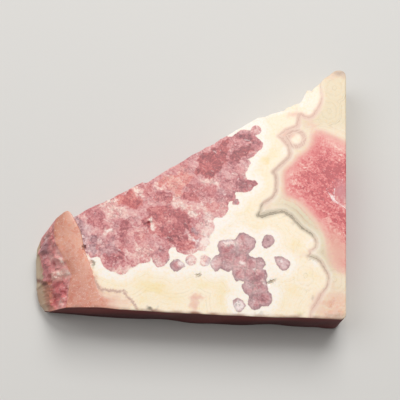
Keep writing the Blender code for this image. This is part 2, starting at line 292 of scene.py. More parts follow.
# A wall under an edge: edge + outward * depth at each row's height.
def wallGrid(edge, depth, rows, reach):
    flat = edge[None] + outwardOf(edge, reach)[None] * depth[..., None]
    return np.concatenate([flat, np.broadcast_to(rows.z[..., None], depth.shape + (1,))], axis=2)


# Bends one end of a wall onto a given column, by (1 - distance / reach)^2 at each height.
def meet(wall, column, reach, atStart):
    place = running(np.linalg.norm(np.diff(wall[3], axis=0), axis=1))
    place, end = (place, 0) if atStart else (place[-1] - place, -1)
    pull = np.clip(1.0 - place[None] / reach, 0.0, 1.0) ** 2
    return wall + (column - wall[:, end])[:, None] * pull[..., None]


# The front skin: slow sine waves, a scoop near the nose, and chips that deepen the face bevel.
def frontWall(rows):
    edge = evenly(slab["frontEdge"], slab["frontCells"] + 1)
    x, z = edge[:, 0], rows.z
    waves = sum(
        depth * np.sin(x / along + z / down + phase) for depth, along, down, phase in slab["frontWaves"]
    )
    depth, centreX, wideX, centreZ, wideZ = slab["frontScoop"]
    scoop = depth * bell(x, centreX, wideX) * bell(z, centreZ, wideZ)
    fade = np.clip((slab["wavesEnd"] - x) / 3.0, 0, 1) * np.clip(rows.down / 1.2, 0, 1)
    chips = sum(depth * bell(x, place, width) for place, width, depth in slab["rimChips"])
    bevel = (slab["faceBevel"] + chips) * rows.bevel
    return wallGrid(edge, (waves - slab["frontInset"] + scoop) * fade - bevel - rows.foot, rows, 0)


# The lower right corner: a quarter circle whose radius grows from the face to the back.
def bluntCorner(rows):
    turn = np.linspace(-np.pi / 2, 0.0, slab["bluntCells"] + 1)
    faceRadius, backRadius = slab["cornerRadius"]
    radius = faceRadius + (backRadius - faceRadius) * rows.down / slab["thickness"]
    x = slab["sawnSideX"] - radius + (radius - rows.trim) * np.cos(turn)
    y = slab["frontY"] + radius + (radius - rows.trim) * np.sin(turn)
    return np.stack([x, y, rows.z + 0 * turn], axis=2)


# The sharp corner, which leans in toward the back by a quarter sine.
def sharpCorner(rows):
    edge = evenly(slab["sharpCorner"], slab["sharpCells"] + 1)
    ease = np.sin(np.linspace(0.0, np.pi / 2, slab["sharpCells"] + 1))
    wall = wallGrid(edge, -slab["cornerLean"] * ease * rows.down / slab["thickness"] - rows.trim, rows, 2)
    wall[:, 0, 1] = edge[0, 1]
    wall[:, 0, 0] = slab["sawnSideX"] - rows.trim[:, 0]
    return wall


# The natural break: large fracture faces with an undercut, crystal faces about a millimetre
# across, sugar grain between them, and a chipped rim.
def brokenWall(rows, rng):
    cellCount, chipCount, length = slab["brokenCells"], slab["chipCount"], slab["brokenLength"]
    edge = evenly(slab["brokenEdge"], cellCount)
    edge = np.concatenate([edge, edge[-1:] + (-0.1, -0.05)])
    chipPlace = np.append(np.linspace(0.0, chipCount - 1, cellCount), chipCount)
    run = chipPlace * length / chipCount
    wall = length, slab["thickness"], *np.broadcast_arrays(run, rows.z)
    rough = facets(rng, "wallFaces", *wall) + facets(rng, "wallBroadFaces", *wall)
    ends = np.clip(np.minimum(run, length - run) / 2.5, 0.0, 1.0)
    top, lower, nearNose, start, over = slab["undercut"]
    undercut = top + lower * rows.down / slab["thickness"] + nearNose * np.clip((run - start) / over, 0, 1)
    depth = np.minimum(rough * ends - undercut, 0.25) * np.clip(rows.down / 2.5, 0, 1)
    mean, spread, least, most = slab["chipDepth"]
    chips = np.clip(rng.normal(mean, spread, chipCount + 1), least, most)
    fine = facets(rng, "wallFineFaces", *wall)
    grain = rng.normal(0.0, slab["wallGrain"], fine.shape)
    depth = depth + (fine + grain) * ends * np.clip(rows.down / 0.8, 0, 1)
    chips = np.interp(chipPlace, np.arange(chipCount + 1), chips)
    ragged = np.clip(chips + rng.normal(0.0, 0.07, len(run)), 0.05, 0.6)
    return wallGrid(edge, depth - ragged * rows.bevel - rows.foot, rows, 15)


# The whole outline as a closed grid, rows down from the face and columns anticlockwise.
# Each wall is its edge pushed along its outward vectors, and each end meets its neighbour.
def outlineGrid():
    rng = np.random.default_rng(slab["seed"])
    rows = outlineRows()
    nose, rough, across = noseGrid(rows.rail, rng)
    front, blunt, sharp = frontWall(rows), bluntCorner(rows), sharpCorner(rows)
    broken = brokenWall(rows, rng)
    share = np.linspace(0.0, 1.0, slab["sawnCells"] + 1)[None, :, None]
    sawn = blunt[:, -1:] * (1.0 - share) + sharp[:, :1] * share
    breakNose(nose, rough, across, rows.rail, rng)
    toNose, toBlunt, toSharp = slab["meetReach"]
    front = meet(meet(front, nose[:, 0], toNose, True), blunt[:, 0], toBlunt, False)
    broken = meet(broken, sharp[:, -1], toSharp, True)
    broken = meet(broken, nose[:, -1], alongRails(rows.rail, slab["noseReach"])[:, None], False)
    names = ("front", "blunt", "sawn", "sharp", "broken", "nose")
    walls = (front, blunt, sawn, sharp, broken, nose[:, ::-1])
    kinds = np.repeat(names, [wall.shape[1] - 1 for wall in walls])
    return np.concatenate([wall[:, :-1] for wall in walls], axis=1), kinds, rows.rail


# Four-sided patch: each point is the sum of the two straight blends between facing sides
# less the blend of the four corners.
def patch(ring, across, up):
    closed = np.concatenate([ring, ring[:1]])
    bottom, right = closed[: across + 1], closed[across : across + up + 1]
    upper = closed[across + up : 2 * across + up + 1][::-1]
    left = closed[2 * across + up :][::-1]
    u = np.linspace(0, 1, across + 1)[:, None, None]
    v = np.linspace(0, 1, up + 1)[None, :, None]
    sides = (1 - v) * bottom[:, None] + v * upper[:, None] + (1 - u) * left[None] + u * right[None]
    low, high = ((1 - u) * side[0] + u * side[-1] for side in (bottom, upper))
    return sides - (1 - v) * low - v * high


# Vertex numbers of a grid's cells as four-cornered faces.
def cells(grid):
    return np.stack([grid[:-1, :-1], grid[1:, :-1], grid[1:, 1:], grid[:-1, 1:]], axis=2).reshape(-1, 4)


# Numbers of a grid's border, anticlockwise from its first corner.
def border(grid):
    return np.concatenate([grid[:-1, 0], grid[-1, :-1], grid[:0:-1, -1], grid[0, :0:-1]])


# The slab's mesh in millimetres: face patch, rows of the outline, and a coarser back patch
# joined by a strip of three triangles for each two columns. With it, for each vertex, the
# name of its wall, its rail, and its share of the way along the nose.
def slabSurface():
    ring, kinds, rail = outlineGrid()
    low, high = ring.min(axis=(0, 1)), ring.max(axis=(0, 1))
    ring = ring - (low + high) / 2 * (1, 1, 0)
    across = slab["frontCells"] + slab["bluntCells"] // 2
    up = slab["noseCells"]
    face = patch(ring[0], across, up)
    pinch(face)
    back = patch(ring[-1][::2], across // 2, up // 2)
    for side in (back, back.transpose(1, 0, 2)):
        side[0] = (side[0] + side[1]) / 2
        side[-1] = (side[-1] + side[-2]) / 2
    faceIds = np.arange(face[..., 0].size).reshape(face.shape[:2])
    rowIds = faceIds.size + np.arange(ring[1:, :, 0].size).reshape(len(rail) - 1, -1)
    backIds = faceIds.size + rowIds.size + np.arange(back[..., 0].size).reshape(back.shape[:2])
    rows = np.concatenate([border(faceIds)[None], rowIds])
    rows = np.concatenate([rows, rows[:, :1]], axis=1)
    outer, inner = rows[-1], np.append(border(backIds), backIds[0, 0])
    a, b, c = outer[:-2:2], outer[1:-1:2], outer[2::2]
    p, q = inner[:-1], inner[1:]
    strip = np.concatenate([np.stack(t, axis=1) for t in ((a, p, b), (b, p, q), (b, q, c))])
    quads = np.concatenate([cells(faceIds), cells(rows), cells(backIds)[:, ::-1]])
    points = np.concatenate([grid.reshape(-1, 3) for grid in (face, ring[1:], back)])
    columns, ends = ring.shape[1], (faceIds.size, backIds.size)
    noseRun = np.clip(1 - (np.arange(columns) - (columns - up)) / up, 0, 1)
    kind = np.pad(np.tile(kinds, len(rail) - 1), ends, constant_values="flat")
    railOf = np.pad(np.repeat(rail[1:], columns), ends, constant_values=(0, rail[-1]))
    runOf = np.pad(np.tile(noseRun, len(rail) - 1), ends)
    return points, quads, strip, (kind, railOf, runOf)


# Draws the face's grid points in toward each pit, so that a small pit gets enough cells:
# distance r becomes R * (r / R)^1.8 within R, and nothing moves on the outline.
def pinch(face):
    u = np.linspace(0, 1, face.shape[0])[:, None]
    v = np.linspace(0, 1, face.shape[1])[None, :]
    free = softStep(np.minimum(np.minimum(u, 1 - u), np.minimum(v, 1 - v)), 0.0, 0.03)[..., None]
    for x, y, *_ in slab["pits"]:
        away = face[..., :2] - (x, y)
        far = np.clip(np.linalg.norm(away, axis=2, keepdims=True) / slab["pinchReach"], 1e-6, 1.0)
        face[..., :2] += away * (far**0.8 - 1.0) * free


# Squared distance from the middle of a turned ellipse, with 1 on its edge.
def ellipse(place, x, y, halfLong, halfWide, turn):
    c, s = np.cos(np.radians(turn)), np.sin(np.radians(turn))
    dx, dy = place[:, 0] - x, place[:, 1] - y
    return ((dx * c + dy * s) / halfLong) ** 2 + ((dy * c - dx * s) / halfWide) ** 2


# Sinks the face inside each pit's ellipse by depth * sqrt(1 - e), with a lumpy floor.
def sinkPits(points):
    for x, y, halfLong, halfWide, depth, turn in slab["pits"]:
        e = ellipse(points, x, y, halfLong, halfWide, turn)
        lumps = 1 + 0.25 * np.sin(9 * (points[:, 0] - x) + 2) * np.sin(11 * (points[:, 1] - y))
        points[:, 2] -= (points[:, 2] > 9.0) * depth * lumps * np.sqrt(np.clip(1 - e, 0, 1))


# Distance from one point.
def awayFrom(place, x, y):
    return np.hypot(place[:, 0] - x, place[:, 1] - y)


# Distance to the nearest point of an open path, and the path's other numbers read there.
def nearPath(place, path):
    path = np.array(path, float)
    nearest = np.full(len(place), 1e9)
    carried = np.zeros((len(place), path.shape[1] - 2))
    for a, b in zip(path, path[1:]):
        side, away = b[:2] - a[:2], place - a[:2]
        share = np.clip(away @ side / (side @ side), 0, 1)
        gap = ((away - share[:, None] * side) ** 2).sum(axis=1)
        closer = gap < nearest
        nearest = np.where(closer, gap, nearest)
        carried = np.where(closer[:, None], a[2:] + share[:, None] * (b[2:] - a[2:]), carried)
    return np.sqrt(nearest), carried


# Distance to the nearest side of a closed outline, positive inside, where a level line from
# the point crosses an odd number of sides.
def insideBy(place, outline):
    outline = np.array([*outline, outline[0]], float)
    nearest, _ = nearPath(place, outline)
    inside = np.zeros(len(place), bool)
    for a, b in zip(outline, outline[1:]):
        if a[1] != b[1]:
            crosses = (a[1] > place[:, 1]) != (b[1] > place[:, 1])
            slant = (b[0] - a[0]) / (b[1] - a[1])
            inside ^= crosses & (place[:, 0] - a[0] < (place[:, 1] - a[1]) * slant)
    return nearest * np.where(inside, 1, -1)


# Sum of soft ellipses (x, y, half-width, half-height, turn, amounts...): exp(-e^1.5) each.
def soften(place, spots):
    total = np.zeros((len(place), len(spots[0]) - 5))
    for spot in spots:
        total += np.exp(-(ellipse(place, *spot[:5]) ** 1.5))[:, None] * spot[5:]
    return total


# What grew in the stone, drawn on the face in millimetres. Every outline is a closed loop.
growth = {
    "drift": (-0.1, 0.12),  # how far the pattern leans for each millimetre down
    "waver": ((2.2, 0.3), (0.9, 0.12)),  # wavelengths and reaches that unsettle the outlines
    # Outlines: the large field along the broken side, the cluster at the lower right, then the
    # loose crystals.
    "crystals": (
        (
            (-27.5, -9.2), (-27, -5), (-10, 5), (5, 16), (7.4, 13.2), (7.6, 12), (8.6, 11.9), (10.8, 13.9),
            (13.4, 13.9), (14.3, 12.4), (16.1, 10.8), (16, 9.6), (15.7, 9), (15.2, 8.8), (13.9, 7.1),
            (12.6, 6.4), (13.2, 6.1), (13.4, 5.5), (12.2, 2.6), (12.8, 1.3), (14.6, 1.2), (15.3, 0.5),
            (15.2, 0.1), (14.3, -0.4), (13.7, -1.4), (12.6, -1.9), (10.2, -1.9), (10, -2.3), (10.3, -2.8),
            (10.2, -3.3), (10.3, -3.6), (10.8, -3.6), (11.2, -4.6), (11, -5), (9.7, -5.1), (9.5, -4.9),
            (9.6, -4.2), (9, -4.2), (8.6, -4.9), (8.7, -6.2), (8.3, -7.4), (7.5, -8.2), (6.9, -8.4),
            (5.9, -8.3), (5.6, -8.7), (5.3, -9.2), (5.8, -10.5), (5.6, -11.8), (5, -12.5), (4.6, -13.8),
            (4.9, -14.5), (4.7, -15), (4.2, -15.3), (4, -16), (4.2, -16.6), (2.2, -16.4), (1.8, -17),
            (1, -17.4), (-0.6, -17.6), (-2.4, -17), (-2.8, -16), (-3.6, -16), (-4.2, -16.5), (-4.3, -17.3),
            (-3.9, -18.4), (-4, -19), (-5, -20.4), (-5.8, -20.8), (-6.6, -20.8), (-7.6, -19.8), (-8, -18.6),
            (-8.4, -19.8), (-10.8, -20.3), (-11.3, -20.9), (-12.8, -21.6), (-13, -22.2), (-13.7, -22.8),
            (-14.3, -23.1), (-15, -23), (-16.2, -22.4), (-17, -22.4), (-18.2, -21.7), (-19, -20.8),
            (-19.6, -19.4), (-20.3, -19.1), (-21.6, -19.6), (-22.2, -19.2), (-23.1, -18), (-24.5, -18),
            (-28, -9),
        ),
        (
            (6.7, -14.6), (7, -13.9), (7.6, -13.7), (10.6, -13.3), (11.3, -12), (11.9, -11.6),
            (12.7, -11.7), (15, -12.9), (15.3, -13.5), (15.1, -15), (13.6, -16.7), (14, -17.1),
            (15.2, -17.5), (16.2, -17.2), (16.8, -17.3), (17.6, -18.4), (17.7, -19), (17, -19.9),
            (17.7, -20.2), (18, -20.9), (18.2, -21.6), (17.9, -22.1), (18.2, -24), (18.5, -25.1),
            (19, -25.5), (19.3, -26.2), (19.4, -27), (19.1, -27.8), (18.5, -28.4), (17, -28.5),
            (16.5, -29.1), (15.6, -29.4), (14.9, -29.3), (13.9, -28.1), (14.2, -26.3), (13.1, -25.6),
            (12.5, -24.4), (12.4, -23.9), (12.9, -23.5), (12.9, -23.1), (11.7, -22.9), (11.2, -23.3),
            (10.2, -21.5), (10.3, -20.9), (10, -20.5), (9.5, -21.1), (7.4, -20.4), (7, -21), (6.4, -21.2),
            (5, -19.4), (5.8, -18), (6.4, -17.4), (7, -17.2), (7.1, -16.6), (6.6, -15.3),
        ),
        (
            (17.2, -12.1), (17.8, -11.8), (18.6, -11.9), (19.3, -12.4), (19.5, -13.2), (19.3, -14),
            (18, -15.1), (17.2, -15.1), (16.7, -14.4), (16.6, -13.6),
        ),
        (
            (19.5, -17), (21, -16.7), (22.5, -17.5), (23.1, -18), (23.2, -18.6), (22.8, -19.4), (22.2, -20),
            (21.6, -20.1), (20.9, -19.8), (20, -18.6),
        ),
        (
            (10.6, -27.5), (11.7, -26.8), (12.9, -27.4), (13.6, -28.6), (12.7, -29.8), (12.1, -30.2),
            (11.5, -29.9), (10.8, -28.6),
        ),
        (
            (-3.2, -19), (-2.5, -18.7), (-1.8, -18.8), (-0.5, -19.7), (-0.4, -20.4), (-2, -21.6),
            (-2.7, -21.7), (-3.7, -20.7), (-3.8, -20),
        ),
        ((3, -17.6), (4, -17.3), (5.3, -18.2), (5.2, -19.2), (4.6, -19.9), (3.6, -20.1), (2.9, -19.6)),
    ),
    "roundCrystals": ((14.4, 14, 1.2), (0.9, -18.8, 1.25)),  # centre and radius
    "darkRim": (0.15, 0.8),  # in from the outlines of the crystals that stand apart
    # Halos outward from the crystals and from the heart, each from full to gone, and yellow from
    # none to full.
    "whiteHalo": (0.6, 2.6),
    "pinkHalo": (0, 1.4),
    "yellowFrom": (1.2, 3),
    "cornerFrom": (14.5, 17.5),  # y over which the far corner begins
    "lowerSalmon": (19, 26),  # how far below the middle the salmon's border softens
    "lowEnd": (0.34, 0.44),  # shares of the way back over which the nose's low end passes
    "crustRail": 10.3,  # rail of the nose where the crust begins
    "frontBrownReach": (0.15, 0.9),  # darker brown along the front edge, from full to gone
    "frontBrownWave": 3,
    "patchEdge": (-0.3, 0.3),
    # Patches with a clear border inside the crystals: darkness, warmth, outline.
    "patches": (
        (0.62, 0.45, (  # the great red crystal in the middle
            (-9.7, -7.3), (-9.3, -6.4), (-7.2, -6.4), (-6.4, -6), (-4.6, -6.2), (-3.8, -6.9), (-1.4, -7.3),
            (0, -8.6), (0, -9.8), (0.6, -11), (2.1, -12.4), (2.9, -14.8), (2.2, -15.4), (1.4, -15),
            (1, -15.4), (1.5, -16), (0.9, -16.3), (-0.5, -16.6), (-1.7, -16.3), (-2.4, -15.6),
            (-4.6, -14.9), (-4.6, -13.9), (-8.6, -13), (-11.2, -10.6), (-10.8, -9.8), (-9.8, -9.6),
        )),
        (0.2, -0.1, (
            (-2.6, -7.6), (-1.2, -7.6), (-0.3, -8.8), (-0.3, -10.2), (0.2, -11.2), (-0.4, -13),
            (0.2, -14.4), (-4.4, -14.6), (-4.8, -13.6), (-6.4, -12.8), (-6.2, -11.2), (-4.2, -10.8),
            (-3, -9.6),
        )),
        (0.35, -0.2, (
            (-10.8, -10.2), (-9.9, -9.6), (-9.2, -10.2), (-8.4, -12.4), (-9.5, -12.2), (-10.4, -11.4),
        )),
        (-2.4, -0.2, ((-8.9, -9.3), (-8.2, -10.1), (-7.9, -11.5), (-8.4, -11.7), (-9.1, -10))),
        (-1.6, -0.6, ((-0.8, -11.8), (2.2, -14.3), (1.4, -14.6), (-1.2, -12.8))),
        (-0.2, -1.6, ((0.2, -10.9), (1.2, -11.3), (2, -12.2), (2.1, -13.1), (0.6, -12.2))),
        (-0.5, -1.2, ((1.3, -13.9), (2.3, -13.7), (2.9, -14.5), (2.7, -15.4), (1.9, -15.4), (1.2, -14.8))),
        (0.96, 0.75, (  # the dark red crystal at the top
            (1.2, 6.8), (3.4, 7.9), (4.6, 8.1), (6.6, 11), (8.2, 10.6), (8.6, 9.9), (7.6, 9.2), (7.7, 5.6),
            (4.4, 0.8), (3.4, 1.5), (2.4, 1.4), (1.8, 2.3), (0.8, 1.9), (0.6, 3), (1.6, 3.9), (1.2, 5),
        )),
        (0.1, 0, (
            (2.8, 5.6), (4.4, 5.8), (5.4, 4.6), (7, 5.2), (7.4, 6.6), (7.2, 8.2), (4, 7.4), (3, 6.8),
        )),
        (0.3, 0, ((2.6, 2.6), (4.4, 3.6), (5.4, 3.6), (5, 2), (4.2, 1.4))),
        (0.9, 0, (
            (9, 12.4), (11.6, 12.6), (13, 12.3), (14, 11.5), (13.8, 10.8), (12.6, 10.9), (9.2, 11.8),
        )),
        (0.1, -0.3, ((8.6, 12.6), (11, 14), (12.8, 13.8), (13.3, 13))),
        (-0.1, 0, ((8.6, 11.4), (11.4, 10.9), (12.4, 10.4), (11.8, 9.8), (10.4, 9.8), (8.4, 10.9))),
        (0.98, 0.5, (
            (10.2, 9.5), (12.6, 9.8), (14, 9.6), (14.6, 8.9), (11.6, 7.2), (10.8, 6.2), (8.6, 6.2),
            (8.2, 7), (9, 7.8), (10.8, 8.6),
        )),
        (0.6, -0.1, ((13.6, 11.6), (15.8, 10.9), (15.6, 10.2), (14.8, 9.9), (13.8, 10.4))),
        (0.5, -0.1, ((8.4, 5.8), (10.8, 5.8), (10.4, 4.6), (9.6, 4.1), (8.2, 5))),
        (0.5, -0.1, (
            (7, 0.6), (10.8, 2), (12.6, 1), (14.4, 1.2), (15, 0.5), (13, -1.6), (11.6, -1.8), (7.4, -1),
            (6.4, -0.4),
        )),
        (0.25, -0.1, ((10.2, 0.6), (11.8, 0.8), (13.2, 0.4), (13, -0.9), (11.4, -1.2), (10, -0.6))),
        (0.45, -0.2, ((8.2, -2), (9.4, -1.9), (9.9, -2.6), (9.6, -3.6), (8.8, -3.6), (8.2, -2.8))),
        (0.45, 1, (  # the salmon red crystal at the broken side
            (-17.4, -5.9), (-17.2, -4.9), (-14.5, -3.1), (-13.4, -3.3), (-12.6, -4.5), (-11.3, -5.1),
            (-11.2, -6), (-12.2, -7.5),
        )),
        (0.4, -0.2, ((-12.9, -5.3), (-11.7, -5.4), (-11.6, -6.8), (-12.3, -7.4), (-13.4, -7), (-13.5, -6))),
        (-1.3, 0.3, ((-22.5, -8.2), (-18.5, -5), (-17.6, -5), (-17.7, -6.2), (-19.5, -6.7))),
        (-0.7, 0.5, ((-14.4, -2), (-12.6, -1.7), (-11.8, -3.4), (-10.4, -3.9), (-12, -4.3), (-13.3, -3.4))),
        (0.3, 0.3, ((-11, -1.5), (-10, -0.9), (-8.8, -1.9), (-8.5, -3), (-10, -3.9), (-11.4, -3.5))),
        (0.45, 0.1, (
            (-23.5, -10.2), (-22.5, -9.8), (-21, -10.3), (-19.8, -10), (-19.5, -11.3), (-18.4, -11.6),
            (-18.6, -12.8), (-19.6, -12.9), (-20.5, -12.2), (-23.2, -11.3),
        )),
        (0.3, -0.1, ((-23.8, -8.3), (-22.5, -7.6), (-19.6, -8.4), (-20.2, -9.6), (-23, -9.3))),
        (-1.2, -0.2, (
            (-19.5, -13.6), (-18.6, -12.4), (-17.6, -12.1), (-17.5, -12.9), (-18.3, -13.7), (-19, -14.2),
        )),
        (0.7, -0.6, (
            (-22.4, -14.9), (-21.8, -14.4), (-21, -14.6), (-20.5, -15.2), (-20.6, -16), (-22.2, -15.7),
        )),
        (0.35, -0.9, (
            (-22.2, -16.2), (-20.8, -16.3), (-20.4, -17.6), (-21, -18.8), (-21.9, -18.8), (-22.5, -17.6),
        )),
        (0.3, -0.6, (
            (-19.9, -17.4), (-18.8, -16.1), (-17.4, -15.6), (-16.2, -16.4), (-15.9, -17.6), (-16.6, -18.6),
            (-18.6, -18.3), (-19.4, -19),
        )),
        (0.5, 0, (
            (-18.6, -18.2), (-16.8, -18.6), (-16, -19.4), (-15.4, -18.6), (-14.6, -19), (-13.9, -21),
            (-15, -21.6), (-17.8, -21), (-18.6, -20.2), (-18.9, -19.2),
        )),
        (0.55, 0.15, (
            (-15.2, -10.2), (-14.3, -10.2), (-14.1, -12), (-14.6, -15.6), (-14.2, -16.8), (-14.4, -18.5),
            (-14.1, -19.6), (-15.1, -19.4), (-15.9, -17.4), (-15.2, -16.4), (-15.6, -14.6), (-15.6, -11.2),
        )),
        (0.55, 0.35, (
            (-8.2, -3.2), (-6.5, -2.9), (-5, -3.4), (-4.5, -3.9), (-4.3, -5.3), (-5.4, -5.5), (-6, -4.9),
            (-7.2, -5.3), (-8.2, -5.2), (-9.2, -4.5),
        )),
        (-0.8, 0.35, (
            (-4.3, -3.9), (-3, -4), (-1, -5.4), (0.5, -6), (1.4, -7), (1.6, -8.2), (0.6, -8.6),
            (-0.5, -7.4), (-3, -6.5), (-4.2, -5.6),
        )),
        (0, 1, (
            (-7, 0.5), (-4, 2), (-1, 2.5), (0, 1), (-0.8, -0.8), (-2, -1.5), (-2, -3.6), (-3.6, -3.7),
            (-4.4, -2.4), (-5.4, -1.6), (-8, -1),
        )),
        (-1, 0.4, ((-9, -0.9), (-7, -1.2), (-5, -2.6), (-6, -2.7), (-9, -1.6))),
        (0.75, 0.5, ((-2, -3.2), (-1, -2.6), (0.6, -2.7), (2, -4.3), (2, -4.9), (-1, -4.4), (-2, -3.9))),
        (0.3, 0.1, (
            (-1.6, -1.4), (-0.6, -0.5), (1.4, -0.4), (2.6, -0.8), (2, -2), (4.6, -3.3), (5.8, -3.2),
            (6, -1.6), (5.2, -0.6), (3.8, -0.9), (1.6, -2.4), (-1, -2.2),
        )),
        (0.3, 0.35, ((3.4, -5), (6.2, -4.9), (6.6, -6), (6, -7.3), (4.8, -7.4), (3.6, -6.8))),
    ),
    # Soft stains in the crystals: x, y, half-width, half-height, turn, darkness, warmth.
    "stains": (
        (-23.5, -14, 1.6, 2.6, 0, -0.1, -0.8), (-17.4, -15, 1.2, 1.2, 0, 0.25, -0.5),
        (-19.8, -15.2, 0.9, 1.4, 0, -0.4, -0.6), (-15.3, -17.4, 0.6, 0.6, 0, 0.5, 0),
        (-13.3, -21.9, 1.8, 1, 20, -0.3, 0.1), (-20.5, -7.6, 2.6, 0.9, -30, -0.4, 0.1),
        (-17, -8, 2.4, 1.6, 0, -0.6, 0.3), (-13, -1.8, 1.5, 1, 35, -0.3, 0.3),
        (-12.5, -9, 2.4, 1.6, 0, -0.35, -0.1), (-16.6, -12, 0.9, 1.6, 10, 0.15, -0.4),
        (-11, -13.5, 2.4, 1.6, 0, -0.25, 0.3), (-10.5, -17.5, 2.6, 2, 0, -0.5, 0.2),
        (-7, -15.3, 2.4, 1, -20, -0.3, -0.2), (-6.2, -17.2, 1, 0.8, 0, 0.4, -0.5),
        (-9.6, -18.5, 0.7, 1, 0, 0.2, 0.1), (-6.3, -19.8, 1.4, 1, 0, -0.5, -0.3),
        (-4.3, -9.9, 0.4, 0.4, 0, -1, 0), (-7, -8, 1.2, 1.6, 0, 0, 0.3), (-5.2, -3.8, 0.8, 0.6, 0, 0.4, 0),
        (2.5, -1.5, 3.5, 1.2, -10, 0.1, 0.2), (-1.8, 5, 2.6, 0.9, 35, 0.1, -0.1),
        (-2.6, 3.4, 1.6, 1.2, 30, 0, 0.5), (5.4, -0.1, 1.2, 0.4, 0, -0.9, 0),
        (3.4, 0.2, 1.2, 0.5, 0, -0.5, 0.2), (8, 3, 2, 1.4, 0, -0.15, -0.2),
        (12, 5, 1.2, 1.6, 0, -0.1, -0.2), (9.2, 9.3, 1.2, 0.8, 20, -0.35, 0.1),
        (10.4, -4.4, 0.7, 0.6, 0, 0.5, -0.9), (7, -2.6, 1.2, 1.6, 0, 0.1, -0.5),
        (7.3, -6.2, 1, 1.8, 0, -0.15, 0.2), (2.5, -6.5, 1.8, 1, 0, -0.55, 0.2),
        (4.6, -11.6, 2.3, 4.2, 0, -1.2, -0.1), (1.6, -9, 0.9, 1.6, 30, -0.2, -0.1),
        (3.6, -15, 1, 1.8, 0, -1, 0), (8.6, -14.4, 1.8, 0.8, 0, -0.45, 0.1),
        (9.1, -16.6, 1.3, 1.5, -50, 0.4, 0), (13.3, -13.4, 1.4, 1.2, 0, -0.2, -0.3),
        (10.9, -15.2, 0.8, 1.6, 0, -0.1, -0.6), (9.6, -13.9, 2.2, 0.6, 0, -0.5, 0.3),
        (8.9, -15.9, 1.3, 0.8, 0, 0.35, 0.4), (12.2, -13, 0.5, 0.9, 20, 0.4, 0.3),
        (14.5, -14.6, 0.7, 1.2, 0, -0.2, -0.2), (11.4, -17.2, 0.6, 1, 0, 0.35, -0.2),
        (15.2, -20.4, 0.9, 0.6, 0, -0.4, -0.2), (14.6, -26.6, 0.5, 1.2, 0, 0.4, -0.2),
        (16.4, -24, 1, 0.5, 0, 0.4, 0), (17.4, -23.2, 0.5, 0.8, 0, -0.5, 0),
        (15.6, -25.2, 0.6, 0.5, 0, -0.5, 0), (12.4, -18.4, 0.45, 0.7, 20, -1.8, 0),
        (13.6, -18.2, 1.2, 1, 0, 0.6, 0), (11.4, -21.2, 0.8, 0.7, 0, 0.6, 0),
        (12.2, -19.8, 0.8, 0.6, 0, -0.3, 0), (16.4, -18.8, 0.8, 0.8, 0, -0.3, -0.6),
        (16.6, -21.4, 1.1, 0.9, 20, 0.5, -0.1), (15.4, -22.4, 1.1, 0.9, 20, 0.5, -0.1),
        (13.6, -23.6, 0.9, 1.4, 10, -0.1, -1), (16, -25.6, 1.4, 0.9, 0, 0, -0.4),
        (17.4, -27, 1.2, 1, 0, 0.7, 0.2), (15, -28, 0.9, 0.9, 0, -0.1, -0.6),
        (6.6, -19.6, 1.2, 1, 0, -0.5, 0), (8.7, -19.4, 1, 0.8, -30, -0.1, -0.7),
        (18, -13.4, 1.2, 1.3, 0, 0.05, -0.9), (17.9, -13.1, 0.3, 0.35, -30, 0.8, 0),
        (21.3, -18.4, 1.7, 1.3, -30, -0.55, -0.9), (12, -28.6, 1.1, 1.3, 0, -1.5, -0.3),
        (-0.9, -20, 0.6, 0.9, 0, -1.1, -0.2), (-2.3, -20.1, 0.9, 1.1, 10, 0.3, 0.5),
        (-2.6, -20.4, 1.4, 1.2, 0, -0.1, -0.4), (4.2, -18.7, 2.2, 2.2, 0, -1, 0),
        (0.9, -18.8, 2, 2, 0, -0.9, -0.1), (14.6, 14.2, 1.3, 1.2, 0, -0.1, -0.2),
        # The three narrow dark stains along the crease, from (-25, -11) down, are painted shade in the gap
        # beside the lip.
        (-25, -11, 0.45, 1.3, 25, 1.2, -1.5), (-24.2, -13.6, 0.4, 1.2, 18, 1, -1.5),
        (-23.9, -15.6, 0.4, 0.8, 10, 1, -1.5), (11.8, 10.6, 3.6, 2.6, -10, 0.42, 0),
        (-6, -10, 3, 2, 0, -0.12, 0), (-14.6, -5.2, 2, 1.2, 25, -0.12, 0.1),
        (-16.5, -20.3, 3.6, 2.2, 0, -0.15, 0), (-14.9, -22.3, 2.4, 0.7, 0, -0.45, 0.2),
    ),
    # Centres and radii of single rounded crystals, whose borders show as fine dark seams.
    "lobes": (
        (12.9, -14, 2.2), (8.8, -15.3, 2.1), (9.6, -17.6, 1.6), (6.4, -19.2, 1.5), (8.9, -19.9, 1.3),
        (12, -18.3, 1.9), (14.4, -18.6, 1.5), (16.5, -18.5, 1.3), (11.6, -21.3, 1.7), (14.3, -21.4, 1.4),
        (16.6, -21.6, 1.6), (13.8, -24.4, 1.5), (16.4, -24.4, 1.8), (17.6, -26.8, 1.7), (15.3, -27.9, 1.5),
        (14.5, 14.1, 1.1), (13.6, 10.6, 2.1), (10.8, 12.9, 1.5), (12.9, 8, 1.8), (11.4, 4.6, 1.8),
        (13.2, -0.2, 1.9), (10.2, 0.2, 2), (9.4, -3.2, 1.4), (10.4, -4.4, 0.8), (7, -6.6, 1.9),
        (4.4, -10.4, 2), (-21.6, -16.6, 1.6), (-17.4, -19.6, 2.2), (-14.6, -21.4, 2), (-6.2, -19.2, 1.5),
        (-9.8, -18.6, 1.6),
    ),
    # The grey-green vein from end to end: x, y, width, how pink it is.
    "vein": (
        (29, 36, 0.2, 0.4), (29.4, 26.8, 0.2, 0.4), (29.9, 23.6, 0.6, 0.9), (29.6, 22, 0.8, 1),
        (29.1, 20.6, 0.9, 1), (27.8, 18.4, 1.1, 1), (26.8, 17.9, 1.2, 1), (25.8, 18, 1.2, 1),
        (25, 18.7, 1, 1), (24.5, 18.6, 1, 1), (24.2, 15.6, 1.3, 1), (21.3, 14.3, 0.7, 1),
